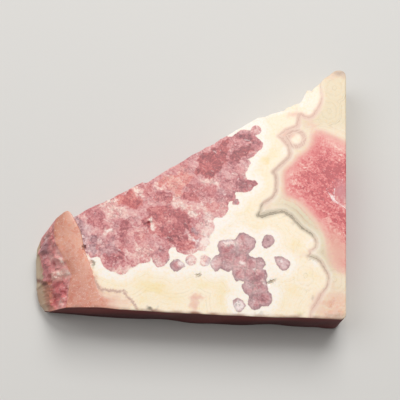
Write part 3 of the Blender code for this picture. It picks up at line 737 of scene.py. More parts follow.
        (19.6, 12.7, 0.6, 0.9), (20.7, 12.2, 1.2, 0.9), (21.6, 11.1, 1.2, 0.8), (22.2, 10.1, 1, 0.7),
        (22.6, 8.5, 1.25, 0.7), (22.3, 7.4, 1.25, 0.7), (18.8, 3.5, 1.3, 0.55), (19.3, 2.9, 1.25, 0.55),
        (19.5, 2, 1.25, 0.55), (19.6, 1.2, 1.1, 0.55), (19.5, -1, 1.05, 0.55), (19.2, -2, 1.05, 0.55),
        (18.6, -2.9, 1.05, 0.55), (16.9, -4.2, 1.05, 0.55), (16.3, -4.8, 0.8, 0.2), (16.1, -6.2, 0.8, 0.1),
        (15.6, -7.3, 1.2, 0), (16.5, -7.2, 1.8, 0), (20.5, -6, 1.3, 0), (21.5, -6, 1.3, 0),
        (23.2, -7, 1.3, 0), (25.5, -9.6, 1.1, 0), (27.3, -10.7, 1, 0), (28.1, -11.4, 0.9, 0),
        (28.7, -12.2, 0.8, 0.3), (28.9, -13.2, 0.7, 0.4), (28.8, -14.1, 0.6, 0.5), (28.2, -14.8, 0.6, 0.7),
        (27.4, -15.2, 0.6, 0.8), (27.6, -15.9, 0.6, 0.6), (27, -16.4, 0.5, 0.3), (28, -16.4, 0.9, 0),
        (29, -16.7, 1, 0.1), (29.9, -17.4, 1, 0.3), (31.6, -20.4, 0.8, 0.5), (31.8, -21.4, 0.7, 0.5),
        (31.6, -22.6, 0.7, 0.6), (31.2, -23.6, 0.7, 0.6), (30, -25.2, 0.9, 1), (29.2, -27, 0.9, 1),
        (28.2, -28.6, 0.7, 1), (27.9, -29.6, 0.6, 0.8), (27.8, -36, 0.5, 0.8),
    ),
    "pastVein": ((60, -36), (60, 36)),  # far corners that close the side beyond it
    "eye": (23.8, 12.3, 2, 1.3),  # ring: centre, middle radius, width
    "core": (  # the red heart at the sawn side
        (45, 10), (35.6, 11.6), (33, 13.2), (31.5, 13.9), (30, 14.5), (28.6, 14.6), (28, 13.2),
        (27.9, 11.9), (27.4, 10.6), (26.6, 9.4), (25.6, 8.4), (24.5, 7.6), (23.2, 5.6), (22.2, 4.7),
        (21.5, 3.8), (21.3, 2.6), (21.6, -1.4), (22.1, -2.2), (23.2, -2.5), (24.5, -3.1), (25.7, -4),
        (29.1, -7.7), (30, -9.1), (30.7, -10.6), (31.1, -12.2), (31.7, -16), (32.1, -17.6), (33, -18.8),
        (34.2, -19.6), (35.6, -19.9), (45, -21),
    ),
    "coreFade": ((-15, -7, 8, 12), (0.3, 1, 1, 0.5)),  # heights, and how strong it is there
    # Colour of the heart: x, y, half-width, half-height, turn, redness, salmon, mauve.
    "coreStains": (
        (31.4, 3, 6.5, 6, 0, 0.42, 0, 0), (31.8, 3.6, 3, 3.8, 0, 0.14, 0, 0),
        (27, -0.5, 3.2, 2.6, -25, 0.14, 0, 0), (29.6, 9.2, 2.6, 1.8, 0, 0.18, 0, 0),
        (32.5, -5.2, 5, 2.6, -40, 0.34, 0, 0), (34.8, -8.8, 1.9, 3.8, 0, 0.2, 0, 0),
        (34.9, -0.7, 2.1, 3, 10, -0.15, 0, 0.8), (33.3, 7.7, 1.3, 0.8, 0, -0.2, 0, 0),
        (34.4, 10.6, 2.4, 1.6, -15, -0.1, 0, 0), (30.2, 5.2, 0.9, 0.7, 0, -0.12, 0, 0),
        (26, 6, 2, 0.7, 20, -0.05, 0, 0), (25, 3.6, 1.6, 0.8, 0, -0.1, 0.1, 0),
        (30.6, -1.7, 1.6, 0.8, -10, -0.16, 0, 0), (33.4, -15.5, 2.8, 4.2, 0, 0, 0.9, 0),
        (32.4, -10.5, 1.6, 2.2, 20, 0, 0.3, 0), (31.6, 6.6, 1.8, 1.3, 0, 0.13, 0, 0),
        (30, 0.2, 1.7, 1.3, 0, 0.12, 0, 0), (34.8, 5, 1.4, 1.6, 0, 0.14, 0, 0),
        (28.6, 11.6, 1.3, 1.5, 0, 0.16, 0, 0),
    ),
    "crack": (  # x, y, width
        (33, 0.2, 0.1), (32.9, -1.2, 0.2), (32.8, -2.5, 0.7), (31.9, -1.3, 0.3), (31.1, 0.2, 0.1),
        (31.9, -1.2, 0.35), (32.8, -2.6, 0.8), (33.7, -3.2, 0.4), (35.6, -4.5, 0.25),
    ),
    # Yellow stains in the cream stone: x, y, half-width, half-height, turn, amount.
    "yellows": (
        (-8.5, -25.3, 2.6, 1.6, 0, 0.8), (-5.8, -26, 2, 1.6, 0, 0.8), (-9, -28.5, 1.6, 1, 0, 0.6),
        (-2.5, -27.5, 2, 1.5, 0, 0.5), (4, -24.5, 2, 0.8, 0, 0.6), (8, -26, 1.2, 3, 0, 0.6),
        (9.3, -29, 1, 1.4, 0, 0.5), (6, -22.8, 0.8, 0.8, 0, 0.4), (27.8, -20.6, 1.2, 1.2, 0, 0.5),
        (24.3, -13.8, 1.2, 1.5, 0, 0.6), (23.8, -24.5, 1.6, 1.2, 0, 0.6), (25.2, -29.5, 0.8, 0.8, 0, 0.5),
        (16.6, 6.5, 1, 1.1, 0, 1), (18.3, 8.2, 1.6, 1.6, 0, 0.5), (17, 1, 1, 3, 0, 0.4),
        (12.8, -5.5, 1, 1.2, 0, 0.5), (10.5, -7, 1.5, 0.6, 0, 0.4), (15.5, -10.5, 2.6, 0.7, 0, 0.35),
        (23.75, 12.25, 1.1, 1.1, 0, 0.5), (-16, -24.4, 3, 1.1, -10, 0.35), (21, -27, 2, 1.5, 0, 0.3),
        (27, -8, 2.5, 1, -40, 0.2),
    ),
    # Clean white patches, given in the same way.
    "whites": (
        (27.2, 22.2, 2, 3, -15, 0.5), (27.6, -12.8, 0.9, 1.3, -20, 0.8), (21.4, 9, 0.7, 1.4, 0, 0.6),
        (28.6, -18, 1.4, 0.9, -40, 0.8), (30.8, -27.2, 1.1, 0.9, 0, 0.8), (9, -9.5, 3, 2, 20, 0.6),
        (-18, -23.4, 2.5, 0.7, -20, 0.5), (20.5, -24.5, 1.5, 2, 0, 0.5), (3, -21.8, 3.5, 1.2, 0, 0.4),
        (26.2, -23.2, 1.6, 1, 0, 0.3), (33.6, -21.6, 1.6, 0.5, 0, 0.4), (23.75, 12.25, 1.5, 1.5, 0, 0.5),
        (34.6, -24.2, 1, 0.8, 0, 0.7), (10.5, 14.6, 2.5, 0.6, 33, 0.8), (15.5, 16.8, 2.6, 0.7, 28, 0.7),
        (20, 18.9, 2.2, 0.6, 20, 0.8), (25, 22.6, 0.9, 1.8, -30, 0.8), (31.2, -28.6, 1.6, 0.5, 15, 0.9),
    ),
    # Pink blushes outside the crystals.
    "blushes": (
        (2.7, -27.2, 1.4, 0.8, 0, 1), (2.2, -29.2, 0.9, 1.6, 10, 1), (23.6, 18.4, 1.6, 0.9, 0, 0.6),
        (26.5, 18.4, 1.6, 0.6, 0, 0.35), (28.8, 20.2, 0.8, 1.4, 0, 0.3), (22, 13.5, 1.8, 1.3, 30, 0.9),
        (33.6, -26.2, 2.4, 2, 0, 0.8), (27.6, 13.5, 0.6, 2.6, 0, 0.6), (23.2, 18.8, 1.6, 0.7, 10, 0.4),
        (34, 30.3, 2.2, 1.2, 0, 0.75), (31.5, 29.2, 1.4, 0.8, 0, 0.4), (32.5, -29.2, 3, 1.2, 0, 0.8),
        (27.2, 16.4, 1.6, 1.2, 0, 0.5), (25.9, -16.3, 1.4, 0.6, 0, 0.3), (17.2, -5, 1.4, 1.1, 40, 0.4),
        (21.4, 12.6, 1.6, 2.4, 0, 0.35), (-17, -29.2, 3.8, 2.2, 10, 0.9), (-12.5, -29.6, 1.6, 1.2, 0, 0.4),
        (10.6, -14, 3, 0.6, 0, 0.2), (29.2, -26.8, 1.4, 2.4, -20, 0.6), (32.6, -22.8, 0.5, 1.2, 20, 0.3),
    ),
    # Dark grey-green specks, and painted shade in the pits, in the gap beside the lip and between the crumbs
    # at the broken rim.
    "darksAndShade": (
        (19, -22.8, 1.1, 0.5, 25, 0.45), (-21, -20.7, 0.8, 0.4, -60, 1), (2.7, -22.2, 0.6, 0.35, 0, 1),
        (-23.35, -17.2, 0.8, 0.5, 75, 1), (-25.2, -10.6, 0.35, 0.9, 25, 0.8),
        (-24.6, -12.6, 0.3, 0.8, 20, 0.6), (-24, -14.8, 0.3, 0.9, 15, 0.6), (-26.2, -9.4, 0.6, 0.3, 0, 0.5),
        (17, -30.4, 1.6, 0.4, 0, 0.4), (33.8, -29.9, 2, 0.7, 0, 0.6), (34.2, 30.4, 1.8, 1, 0, 0.75),
        (26.8, 25, 0.9, 0.6, 0, 0.12), (25.4, -29.9, 1, 0.4, 0, 0.4), (-7.3, -30.4, 1.3, 0.4, 0, 1.6),
        (28.3, 19.6, 0.4, 0.9, 20, 0.3), (28.3, -25.9, 0.3, 0.5, 0, 0.5), (21.5, 20.1, 0.5, 0.2, 25, 0.5),
        (23.5, 21.1, 0.4, 0.2, 30, 0.5), (24.7, 22.4, 0.2, 0.5, 0, 0.4), (23.3, -8.9, 0.8, 0.25, -50, 0.5),
        (27.8, -17.2, 1.2, 0.2, -20, 0.5), (21.5, -7.4, 0.9, 0.15, 0, 0.4),
    ),
    "olives": ((25.5, -7.5, 6, 2.6, -42, 0.8), (31, -17, 1.6, 5, 15, 0.65)),  # beside the vein
    "ringCentres": ((32.8, 26.2), (31.6, 20), (26.6, -21), (33, -21.5)),  # growth rings in the quiet stone
    "ringPower": 2.6,  # 2 would be an ellipse, and more is squarer
    "ringSquash": (1, 0.56),
    "salmonEdge": (  # where the nose's salmon skin meets the cream stone
        (-45, 5), (-27, -9.5), (-23.5, -17.5), (-22.6, -19.6), (-22.2, -21), (-21.6, -22.5), (-20.9, -24.3),
        (-20.2, -25.8), (-19.2, -27), (-18.4, -28.5), (-17.3, -29.6), (-15.8, -30.8), (-14, -36),
        (-45, -36),
    ),
    "wavyLine": (  # x, y, width
        (-20.6, -24, 0.4), (-19.9, -25.4, 0.7), (-19.3, -26.2, 0.7), (-18.6, -26.8, 0.6),
        (-17.7, -26.6, 0.6), (-16.9, -26.9, 0.7), (-16, -26.7, 0.6), (-15.2, -27, 0.7), (-14.4, -26.9, 0.6),
        (-13.7, -26.7, 0.6), (-13.2, -27.2, 0.7), (-12.7, -28, 0.5), (-11.9, -28.6, 0.6),
        (-11.2, -29.4, 0.6), (-10.6, -30.2, 0.5), (-10.3, -30.8, 0.5),
    ),
    # On the nose: rail, tenths of the way back, half-sizes, turn, darkness, warmth, glint. The light stains
    # on the lip and crest, and the light glinting stains on the break's cleavage faces, are painted
    # highlight.
    "noseStains": (
        (1.2, 9.5, 1.2, 1, 0, -0.9, 0.2, 0.2), (1.2, 6.5, 0.8, 2.5, 0, -0.4, 0.1, 0),
        (3.2, 7.5, 1, 2, 0, -0.1, 0.5, 0), (3.5, 5, 0.8, 1.4, 0, 0.2, 0.5, 0),
        (2.4, 7, 1.7, 3.2, 0, -0.5, 0, 0), (3.2, 3.6, 0.8, 1, 0, -0.25, 0, 0),
        (2.6, 1.5, 2, 1.6, 0, 0, 0.1, 0), (4.6, 3.8, 0.5, 0.4, 0, -0.8, 0, 0.7),
        (6.6, 3.9, 1.9, 0.6, 0, -0.7, 0.5, 0.3), (4.7, 4.9, 0.5, 0.8, 0, -0.8, 0.4, 0.3),
        (5, 6.2, 0.7, 0.7, 0, -0.5, 0.1, 0.4), (7.2, 6.2, 0.6, 0.4, 0, -0.6, 0, 0.5),
        (8.2, 9, 0.8, 0.5, 0, -0.6, -0.4, 0.6), (8.6, 8.2, 1.4, 1.2, 0, 0.6, -1, 0),
        (9.2, 5.5, 1.1, 1.6, 0, 0.4, -0.3, 0), (8.8, 3, 1.4, 1.2, 0, 0.45, 0.1, 0),
        (5.6, 8, 1.4, 1.6, 0, 0.1, 0.3, 0), (6.8, 1.8, 2, 1.2, 0, 0.5, 0, 0),
        (6.2, 0.8, 0.7, 0.3, 0, -0.8, 0, 0.8), (9.3, 1.2, 1.4, 1.5, 0, 0.6, 0.4, 0),
        (6.6, 2.5, 0.5, 0.3, 0, -0.4, 0, 0.6), (8.3, 1, 0.9, 0.5, 0, 0.4, 0, 0),
        (6.9, 2.8, 0.7, 0.4, 0, 0.3, 0, 0), (6, 2, 0.6, 0.4, 0, 0.4, 0, 0),
        (7.6, 8, 1.2, 0.6, 0, 0.4, -0.3, 0), (5, 8.4, 0.6, 0.6, 0, 0.4, 0, 0),
        (5.8, 6.6, 0.6, 0.5, 0, 0.3, 0, 0), (7.4, 5.6, 0.8, 0.5, 0, 0.45, 0, 0),
        (7.9, 4.6, 0.7, 0.4, 0, 0.4, 0, 0), (6.9, 0.8, 0.5, 0.3, 0, -0.3, 0, 0),
        (4.5, 1.8, 0.5, 0.6, 0, -0.6, 0, 0), (4.6, 3, 0.5, 0.5, 0, -0.25, 0, 0),
    ),
}


# sRGB hex to the linear values that Blender works in.
def linear(hexColour):
    value = np.array([int(hexColour[i : i + 2], 16) / 255 for i in (1, 3, 5)])
    return np.where(value <= 0.04045, value / 12.92, ((value + 0.055) / 1.055) ** 2.4)


# Colours of the stone's quiet parts, which the ground of the pattern is mixed from.
ground = {
    "cream": "#FCEED9",
    "white": "#FCF4ED",
    "yellow": "#F7E4B6",
    "blush": "#E9B9A8",
    "beige": "#EFDFC6",
    "olive": "#D6CBAF",
    "corner": "#E7D7B9",
    "palePink": "#E9BAA9",
    "salmon": "#D08F7D",
    "salmonDark": "#BC7463",
    "salmonLight": "#E9B09B",
    # Grey-green of the specks, also laid in the pits and gaps as painted shade.
    "speck": "#6F6A5C",
    "rim": "#C3AF97",
    "rimBrown": "#A87A69",
    "notch": "#7E5248",
    # The rind's red is deepened as painted shade, and the next colour paints its bands and more shade lower
    # down the wall.
    "skin": "#76130F",
    "skinBandsAndShade": "#47080A",
}


# Uneven slow waves: the mean of sines that run in random directions about one wavelength.
def ripple(place, wavelength, rng):
    way = rng.uniform(0, 2 * np.pi, 14)
    size = 2 * np.pi / (wavelength * rng.uniform(0.7, 1.5, 14))
    phase = rng.uniform(0, 2 * np.pi, 14)
    across = place[:, :1] * np.cos(way) + place[:, 1:2] * np.sin(way)
    return np.sin(across * size + phase).sum(axis=1) / 14**0.5


# Layers of colour over a base, each mixed in by its own share of 0 to 1. A layer is a name in
# ground or a colour for every vertex.
def layered(base, *layers):
    colour = linear(ground[base])
    for over, share in layers:
        over = linear(ground[over]) if isinstance(over, str) else over
        colour = colour + (over - colour) * np.clip(share, 0, 1)[:, None]
    return colour


# Where each vertex lies on the drawing. Place is the vertex seen from above, drawn along the
# lean of the bands by its depth, so the pattern runs on down the walls; bent wavers around it.
def drawingPlaces(points, info, rng):
    kind, rail, run = info
    depth = np.clip(slab["thickness"] - points[:, 2], 0, None)
    slow = np.stack([np.sin(points[:, 1] / 6 + depth / 3), np.sin(points[:, 0] / 7 - depth / 4)], axis=1)
    place = points[:, :2] + depth[:, None] * growth["drift"] + slow * depth[:, None] * 0.06
    bent = place
    for wavelength, amount in growth["waver"]:
        bent = bent + amount * np.stack([ripple(place, wavelength, rng) for _ in range(2)], axis=1)
    return SimpleNamespace(
        points=points, depth=depth, place=place, bent=bent, y=place[:, 1], rail=rail, run=run,
        salmon=insideBy(bent, growth["salmonEdge"]), lower=softStep(-place[:, 1], *growth["lowerSalmon"]),
        onWall=kind != "flat", nose=(kind == "nose").astype(float),
        skin=np.isin(kind, ("front", "blunt")) * softStep(rail, 0.5, 1.6),
        fresh=(kind == "broken") * softStep(rail, 0.3, 1.2),
        lowEnd=1 - softStep(run, *growth["lowEnd"]), crust=growth["crustRail"] + 0.35 * np.sin(run * 9),
    )


# The sugary crystals on the face and on the nose: how far in, their tone and warmth, how much
# painted glint highlight they get, calm, the seams between the lobes, and the grey rims of the crystals
# that stand apart. On the nose, rails 0 to 4 are the smooth facet, 4 to 10 the rough break and 10 to 12 the
# crust.
def crystalFields(at):
    place, rail, nose, lowEnd = at.place, at.rail, at.nose, at.lowEnd
    inside = [insideBy(place, outline) for outline in growth["crystals"]]
    rounds = [radius - awayFrom(place, x, y) for x, y, radius in growth["roundCrystals"]]
    crystal = np.max(inside + rounds, axis=0)
    at.halo = np.clip(-crystal, 0, None)
    apart = np.max(inside[1:-1], axis=0)
    rimmed = (apart > -1.0) * (1 - softStep(apart, *growth["darkRim"]))
    grey = softStep(apart, -1.0, -0.5)
    tone, warm = soften(at.bent, growth["stains"]).T
    for darkness, warmth, outline in growth["patches"]:
        within = insideBy(at.bent, outline)
        share = softStep(within, *growth["patchEdge"])
        if darkness > 0:
            share = share + 0.4 * softStep(within, 0.0, 0.2) * (1 - softStep(within, 0.25, 0.6))
        tone, warm = tone + darkness * share, warm + warmth * share
    tone = tone * (1 + 0.4 * grey) + 0.35 * rimmed
    warm = warm - 1.1 * rimmed - 0.55 * grey
    onNose = np.stack([rail, at.run * 10.0], axis=1)
    noseTone, noseWarm, glintAmount = soften(onNose, growth["noseStains"]).T
    at.noseTone = noseTone
    broken = np.minimum(1.1 * (rail - 4.1), (1.1 - 0.95 * lowEnd) * (at.crust - 1.9 * lowEnd - rail))
    crumbs = (1 - softStep(-at.salmon, 0.3, 1.6)) * softStep(at.y, -19.5, -17.5)
    calm = 1 - 0.68 * nose - 0.2 * grey + 0.6 * nose * softStep(-noseTone, 0.25, 0.7)
    lobes = np.sort([awayFrom(place, x, y) - radius for x, y, radius in growth["lobes"]], axis=0)
    return {
        "crystal": np.where(nose > 0, broken, crystal),
        "tone": np.where(nose > 0, noseTone - 0.1, tone - 0.2 * crumbs),
        "warm": np.where(nose > 0, noseWarm + 0.1 + 0.2 * lowEnd, warm - 1.0 * crumbs),
        # Amount of painted glint highlight: on the nose from its stains, on the face on the fresh break and
        # the crumbs.
        "glintAmount": np.where(nose > 0, 0.7 * glintAmount, 0.25 * at.fresh + 0.3 * crumbs),
        "calm": calm + 0.9 * crumbs * (1 - nose),
        "seam": np.where((lobes[0] < 0.7) & (nose == 0), (lobes[1] - lobes[0]) / 2, 3.0),
        "grey": grey,
    }


# The green and pink vein with its ring round the eye, and the red heart beyond it. Across is
# the distance past the vein toward the sawn side, and negative before it.
def veinFields(at):
    at.veinAway, carried = nearPath(at.place, growth["vein"])
    width, pink = carried.T
    across = insideBy(at.place, [*(point[:2] for point in growth["vein"]), *growth["pastVein"]])
    x, y, middle, ring = growth["eye"]
    fromEye = awayFrom(at.place, x, y)
    ringIn, veinIn = ring / 2 - np.abs(fromEye - middle), width / 2 - at.veinAway
    at.side = np.minimum(across, fromEye - middle)
    core = insideBy(at.place, growth["core"])
    at.coreAway = np.clip(-core, 0, None)
    redness, salmonCore, mauve = soften(at.bent, growth["coreStains"]).T
    bands = 0.12 * bell(core, 0.2, 0.3) + 0.15 * bell(core, 1.3, 0.25) * softStep(-at.y, 1.0, 3.0)
    return {
        "across": across,
        "pink": np.where(ringIn > veinIn, 0.95, np.clip(1.25 * pink, 0, 1)),
        "vein": np.where(at.nose > 0, -9.0, np.maximum(veinIn, ringIn)),
        "core": core * np.interp(at.y, *growth["coreFade"]),
        "redness": 0.29 + redness + np.clip(core, 0, 2) * 0.04 + bands,
        "mauve": mauve,
        "coreSalmon": salmonCore,
    }


# Colour of the quiet stone: cream round the crystals, beige beyond the vein, salmon below,
# smooth salmon on the nose with a brown crust, and the rind down the front, its red deepened by painted
# shade, most of all lower down.
def quietColour(at, rng):
    y, rail, run = at.y, at.rail, at.run
    names = ("yellows", "whites", "blushes", "darksAndShade")
    yellow, white, blush, darkAndShade = (soften(at.bent, growth[name])[:, 0] for name in names)
    at.olive = soften(at.place, growth["olives"])[:, 0]
    at.farCorner = softStep(y, *growth["cornerFrom"]) * softStep(at.side, 0.4, 1.4)
    haloAway = at.coreAway + 0.8 * softStep(-y, 9.0, 13.0) + 0.4 * softStep(y, 12.5, 14.0)
    between = layered(
        "beige", ("corner", at.farCorner), ("olive", at.olive),
        ("white", 0.5 * (1 - softStep(at.veinAway, 0.6, 1.3)) * (y < 16)),
        ("palePink", 1 - softStep(haloAway, *growth["pinkHalo"])),
    )
    notch = bell(run - 0.06 * (rail - 9.8), 0.385, 0.035) * softStep(rail, 9.0, 9.6)
    smooth = layered(
        "salmon", ("salmonDark", at.noseTone),
        # Lighter on the lip and the crest, where they face the lamp: painted highlight.
        ("salmonLight", -at.noseTone + 0.55 * (1 - softStep(rail, 1.4, 3.0))),
        ("blush", 0.7 * softStep(run, 0.45, 0.7) * (1 - softStep(rail, 0.8, 2.0))),
        ("rimBrown", softStep(rail, at.crust - 1.4, at.crust - 0.2) * (1 - softStep(run, 0.45, 0.6))),
        ("rim", softStep(rail, at.crust - 0.3, at.crust + 0.5) * (1 - 0.4 * at.lowEnd)),
        ("rimBrown", 0.5 * bell(rail, 10.6, 0.25) * softStep(run, 0.5, 0.6)), ("notch", notch),
    )
    # A darker brown band along the front edge of the face and along the front end of the nose.
    fromFront, _ = nearPath(at.points[:, :2], [(-40, -30.85), *slab["frontEdge"]])
    fromFront = np.where(at.nose > 0, run * slab["noseLength"], fromFront)
    frontEdgeBrown = (1 - softStep(fromFront, *growth["frontBrownReach"])) * (rail < 9)
    frontEdgeBrown = frontEdgeBrown * (0.45 + 0.3 * ripple(at.place, growth["frontBrownWave"], rng))
    stripe = 0.3 * np.sin(at.points[:, 0] / 5.3 + at.depth / 2.0)
    # The rind grows darker with depth down the front wall, which is painted shade, with its bands laid over
    # it.
    rindWithShade = layered("skin", ("skinBandsAndShade", at.depth / 11 + 0.2 + stripe))
    colour = layered(
        "cream", ("yellow", 0.12 * softStep(at.halo, *growth["yellowFrom"]) + 0.85 * yellow),
        ("white", 0.9 * (1 - softStep(at.halo, *growth["whiteHalo"])) + white),
        # The dark specks also lay painted shade in the pits, beside the lip and between the rim's crumbs.
        (between, softStep(at.side, -0.15, 0.15)), ("blush", 0.8 * blush), ("speck", 0.6 * darkAndShade),
        ("salmon", softStep(at.salmon, -0.35 - 1.6 * at.lower, 0.5 + 1.2 * at.lower)),
        ("salmonLight", 0.5 * (1 - softStep(np.abs(at.salmon), 0.1, 1.2))),
        (smooth, at.nose), ("rimBrown", frontEdgeBrown), (rindWithShade, at.skin),
    )
    return np.clip(colour, 0, 1)


# Growth lines of the quiet stone, which follow the vein, the core and the rings of the corner,
# with the flush of the salmon, the wavy line and the white crack.
def lineFields(at):
    place, y, side, nose, skin = at.place, at.y, at.side, at.nose, at.skin
    flushed = softStep(at.salmon, -0.6 - 2.0 * at.lower, 0.6 + 1.0 * at.lower) * (1 - skin)
    flushed = np.maximum(flushed, bell(place[:, 0], 33.0, 3.0) * bell(y, -28.0, 2.6)) * ~at.onWall
    loose = place + 0.35 * (at.bent - place)
    power = growth["ringPower"]
    rings = [np.abs(loose - centre) ** power @ growth["ringSquash"] for centre in growth["ringCentres"]]
    rings = np.min(rings, axis=0) ** (1 / power)
    lines = np.minimum(at.veinAway, np.where(side > 0, at.coreAway + 0.7, at.halo + 0.4))
    lines = lines + (rings - lines) * at.farCorner
    lineDepth = np.clip(0.16 + 0.9 * at.olive * (side > 0) + 0.35 * at.farCorner, 0, 1)
    lineDepth = np.where((rings < 2.8) & (y < 0), 0.45, lineDepth)
    pinkLines = (side > 0) * (1 - softStep(at.coreAway, 1.2, 3.0)) * (1 - at.farCorner)
    wavyAway, wavyWidth = nearPath(place, growth["wavyLine"])
    crackAway, crackWidth = nearPath(place, growth["crack"])
    return {
        "flushed": np.where(nose > 0, 1 - softStep(at.rail, 9.0, 10.0), flushed),
        "lines": np.where((rings < 2.6) & (y < 0), rings, lines),
        "lineDepth": lineDepth * (1 - nose) * (1 - skin),
        "linePink": pinkLines * (1 - 0.8 * softStep(-y, 9.0, 13.0)),
        "wavy": np.where(nose + skin > 0, -9.0, wavyWidth[:, 0] / 2 + 0.1 - wavyAway),
        "crack": np.where(nose > 0, -9.0, crackWidth[:, 0] / 2 - crackAway),
        "skin": skin,
        "fresh": at.fresh,
        "nose": nose,
    }


# Fills one vertex attribute from a whole array.
def giveAttribute(mesh, name, values):
    flat = values.ndim == 1
    layer = mesh.attributes.new(name, "FLOAT" if flat else "FLOAT_COLOR", "POINT")
    if flat:
        layer.data.foreach_set("value", values.astype(np.float32))
    else:
        rgba = np.concatenate([values, np.ones((len(values), 1))], axis=1)
        layer.data.foreach_set("color", rgba.astype(np.float32).ravel())


# Builds a mesh object from whole arrays of points in millimetres, quads and triangles.
def meshPiece(name, points, quads, triangles):
    mesh = bpy.data.meshes.new(name)
    corners = np.concatenate([quads.ravel(), triangles.ravel()]).astype(np.int32)
    sizes = np.repeat((4, 3), (len(quads), len(triangles)))
    starts = running(sizes)[:-1].astype(np.int32)
    mesh.vertices.add(len(points))
    mesh.vertices.foreach_set("co", (points * mm).astype(np.float32).ravel())
    mesh.loops.add(len(corners))
    mesh.loops.foreach_set("vertex_index", corners)
    mesh.polygons.add(len(sizes))
    mesh.polygons.foreach_set("loop_start", starts)
    mesh.update(calc_edges=True)
    piece = bpy.data.objects.new(name, mesh)
    bpy.context.scene.collection.objects.link(piece)
    return piece


# Adds one node with its settings, values and links, and gives back the output asked for. The
# inputs are a dictionary of sockets, or a list for the first ones; a hex string is a colour.
def add(tree, kind, inputs=(), out=0, stops=(), **settings):
    node = tree.nodes.new("ShaderNode" + kind)
    for name, value in settings.items():
        setattr(node, name, value)
    for key, value in inputs.items() if isinstance(inputs, dict) else enumerate(inputs):
        if isinstance(value, bpy.types.NodeSocket):
            tree.links.new(value, node.inputs[key])
        else:
            node.inputs[key].default_value = (*linear(value), 1) if isinstance(value, str) else value
    for number, (place, hexColour) in enumerate(stops):
        elements = node.color_ramp.elements
        stop = elements[number] if number < 2 else elements.new(place)
        stop.position, stop.color = place, (*linear(hexColour), 1)
    return node.outputs[out] if len(node.outputs) else node


# Rhodochrosite, sawn and lightly lapped: satin rather than glossy, sugary where the crystals
# are cut across, with a faint glow just under the surface.
finish = {
    "ior": 1.65,
    "glow": 0.08,
    "glowReach": (0.0009, 0.0004, 0.0003),  # metres
    "relief": 0.00005,  # metres between the lowest and the highest sugar
    "grain": 0.42,  # crystal grains across one millimetre
    "shard": 1.15,  # the cleavage pieces inside a grain
    "stretch": (1.5, 0.8, 1.0),  # grains are longer along the cleavage
    "cleavage": (0, 0, -0.65),  # turn of the cleavage, in radians
    "swirl": {"Scale": 0.8, "Detail": 4.0, "Roughness": 0.65},  # noise that bends the grains
    "swirlReach": (2.4, 2.4, 2.4),  # millimetres
    # Noises: how many to a millimetre, detail, roughness, distortion. Sugar is drawn coarser
    # than the real specks, which are under 0.2 mm.
    "noises": {
        "cloud": (0.5, 4.0, 0.6, 0.0), "tint": (0.9, 3.0, 0.6, 0.6), "wobble": (1.7, 3.0, 0.6, 0.0),
        "sugar": (2.1, 3.0, 0.6, 0.0), "speck": (2.6, 4.0, 0.8, 0.4),
    },
    # How much each noise darkens and lightens the crystals and the red heart.
    "crystalStir": {"cloud": 0.35, "grain": 0.45, "shard": 0.85, "sugar": 2.5, "wobble": 0.6},
    "heartStir": {"cloud": 0.8, "shard": 0.55, "sugar": 1.7},
    "rose": (
        (0.0, "#F7E0D6"), (0.16, "#F0CBC0"), (0.3, "#E4ADA7"), (0.47, "#D68B8A"), (0.62, "#C26C70"),
        (0.78, "#A54C51"), (1.0, "#792C36"),
    ),
    "warm": (
        (0.0, "#F9E1D2"), (0.16, "#F3CBBB"), (0.3, "#E9AB9B"), (0.47, "#DF887E"), (0.62, "#D06863"),
        (0.78, "#B74B4B"), (1.0, "#8A2C31"),
    ),
    "mauve": (
        (0.0, "#F2E0DD"), (0.16, "#E5CAC8"), (0.3, "#D8B2B1"), (0.47, "#C79A9B"), (0.62, "#B38185"),
        (0.78, "#97666B"), (1.0, "#6E474F"),
    ),
    "core": ((0.0, "#F4CDBD"), (0.25, "#EBA79B"), (0.5, "#E17C78"), (0.75, "#D35658"), (1.0, "#B83A40")),
    "vein": ((0.0, "#D8C9AE"), (0.4, "#C2B095"), (1.0, "#8E7E66")),
    "pinkVein": ((0.0, "#E9C9B7"), (1.0, "#D4AA96")),
    "coreSalmon": "#E2A692",
    "coreMauve": "#C6797E",
    "outline": "#84706C",
    "roseSeam": "#8A4A4F",
    "sparkle": "#FBF3EE",
    "mottle": ((0.3, "#FFF6E2"), (0.5, "#FEFCF8"), (0.7, "#FFFFFF")),
    "flush": ((0.35, "#FFE3D8"), (0.5, "#FFFFFF"), (0.62, "#F7D6CC")),
    "fleck": "#F2CDBE",
    "bandLine": "#BBAA87",
    "bandPink": "#E3AD9F",
    "wavy": "#C09888",
}


# What a step of the recipe can be: node, the sockets it fills, the output it gives, settings.
# Any other step is a Math node with the operation named.
works = {
    "range": ("MapRange", range(5), 0, {}),
    "smooth": ("MapRange", range(5), 0, {"interpolation_type": "SMOOTHSTEP"}),
    "ramp": ("ValToRGB", range(1), 0, {}),
    "streaks": ("TexNoise", ("W", "Scale", "Detail"), 0, {"noise_dimensions": "1D"}),
    "mix": ("Mix", (0, 6, 7), 2, {"data_type": "RGBA"}),
    "stain": ("Mix", (0, 6, 7), 2, {"data_type": "RGBA", "blend_type": "MULTIPLY"}),
}

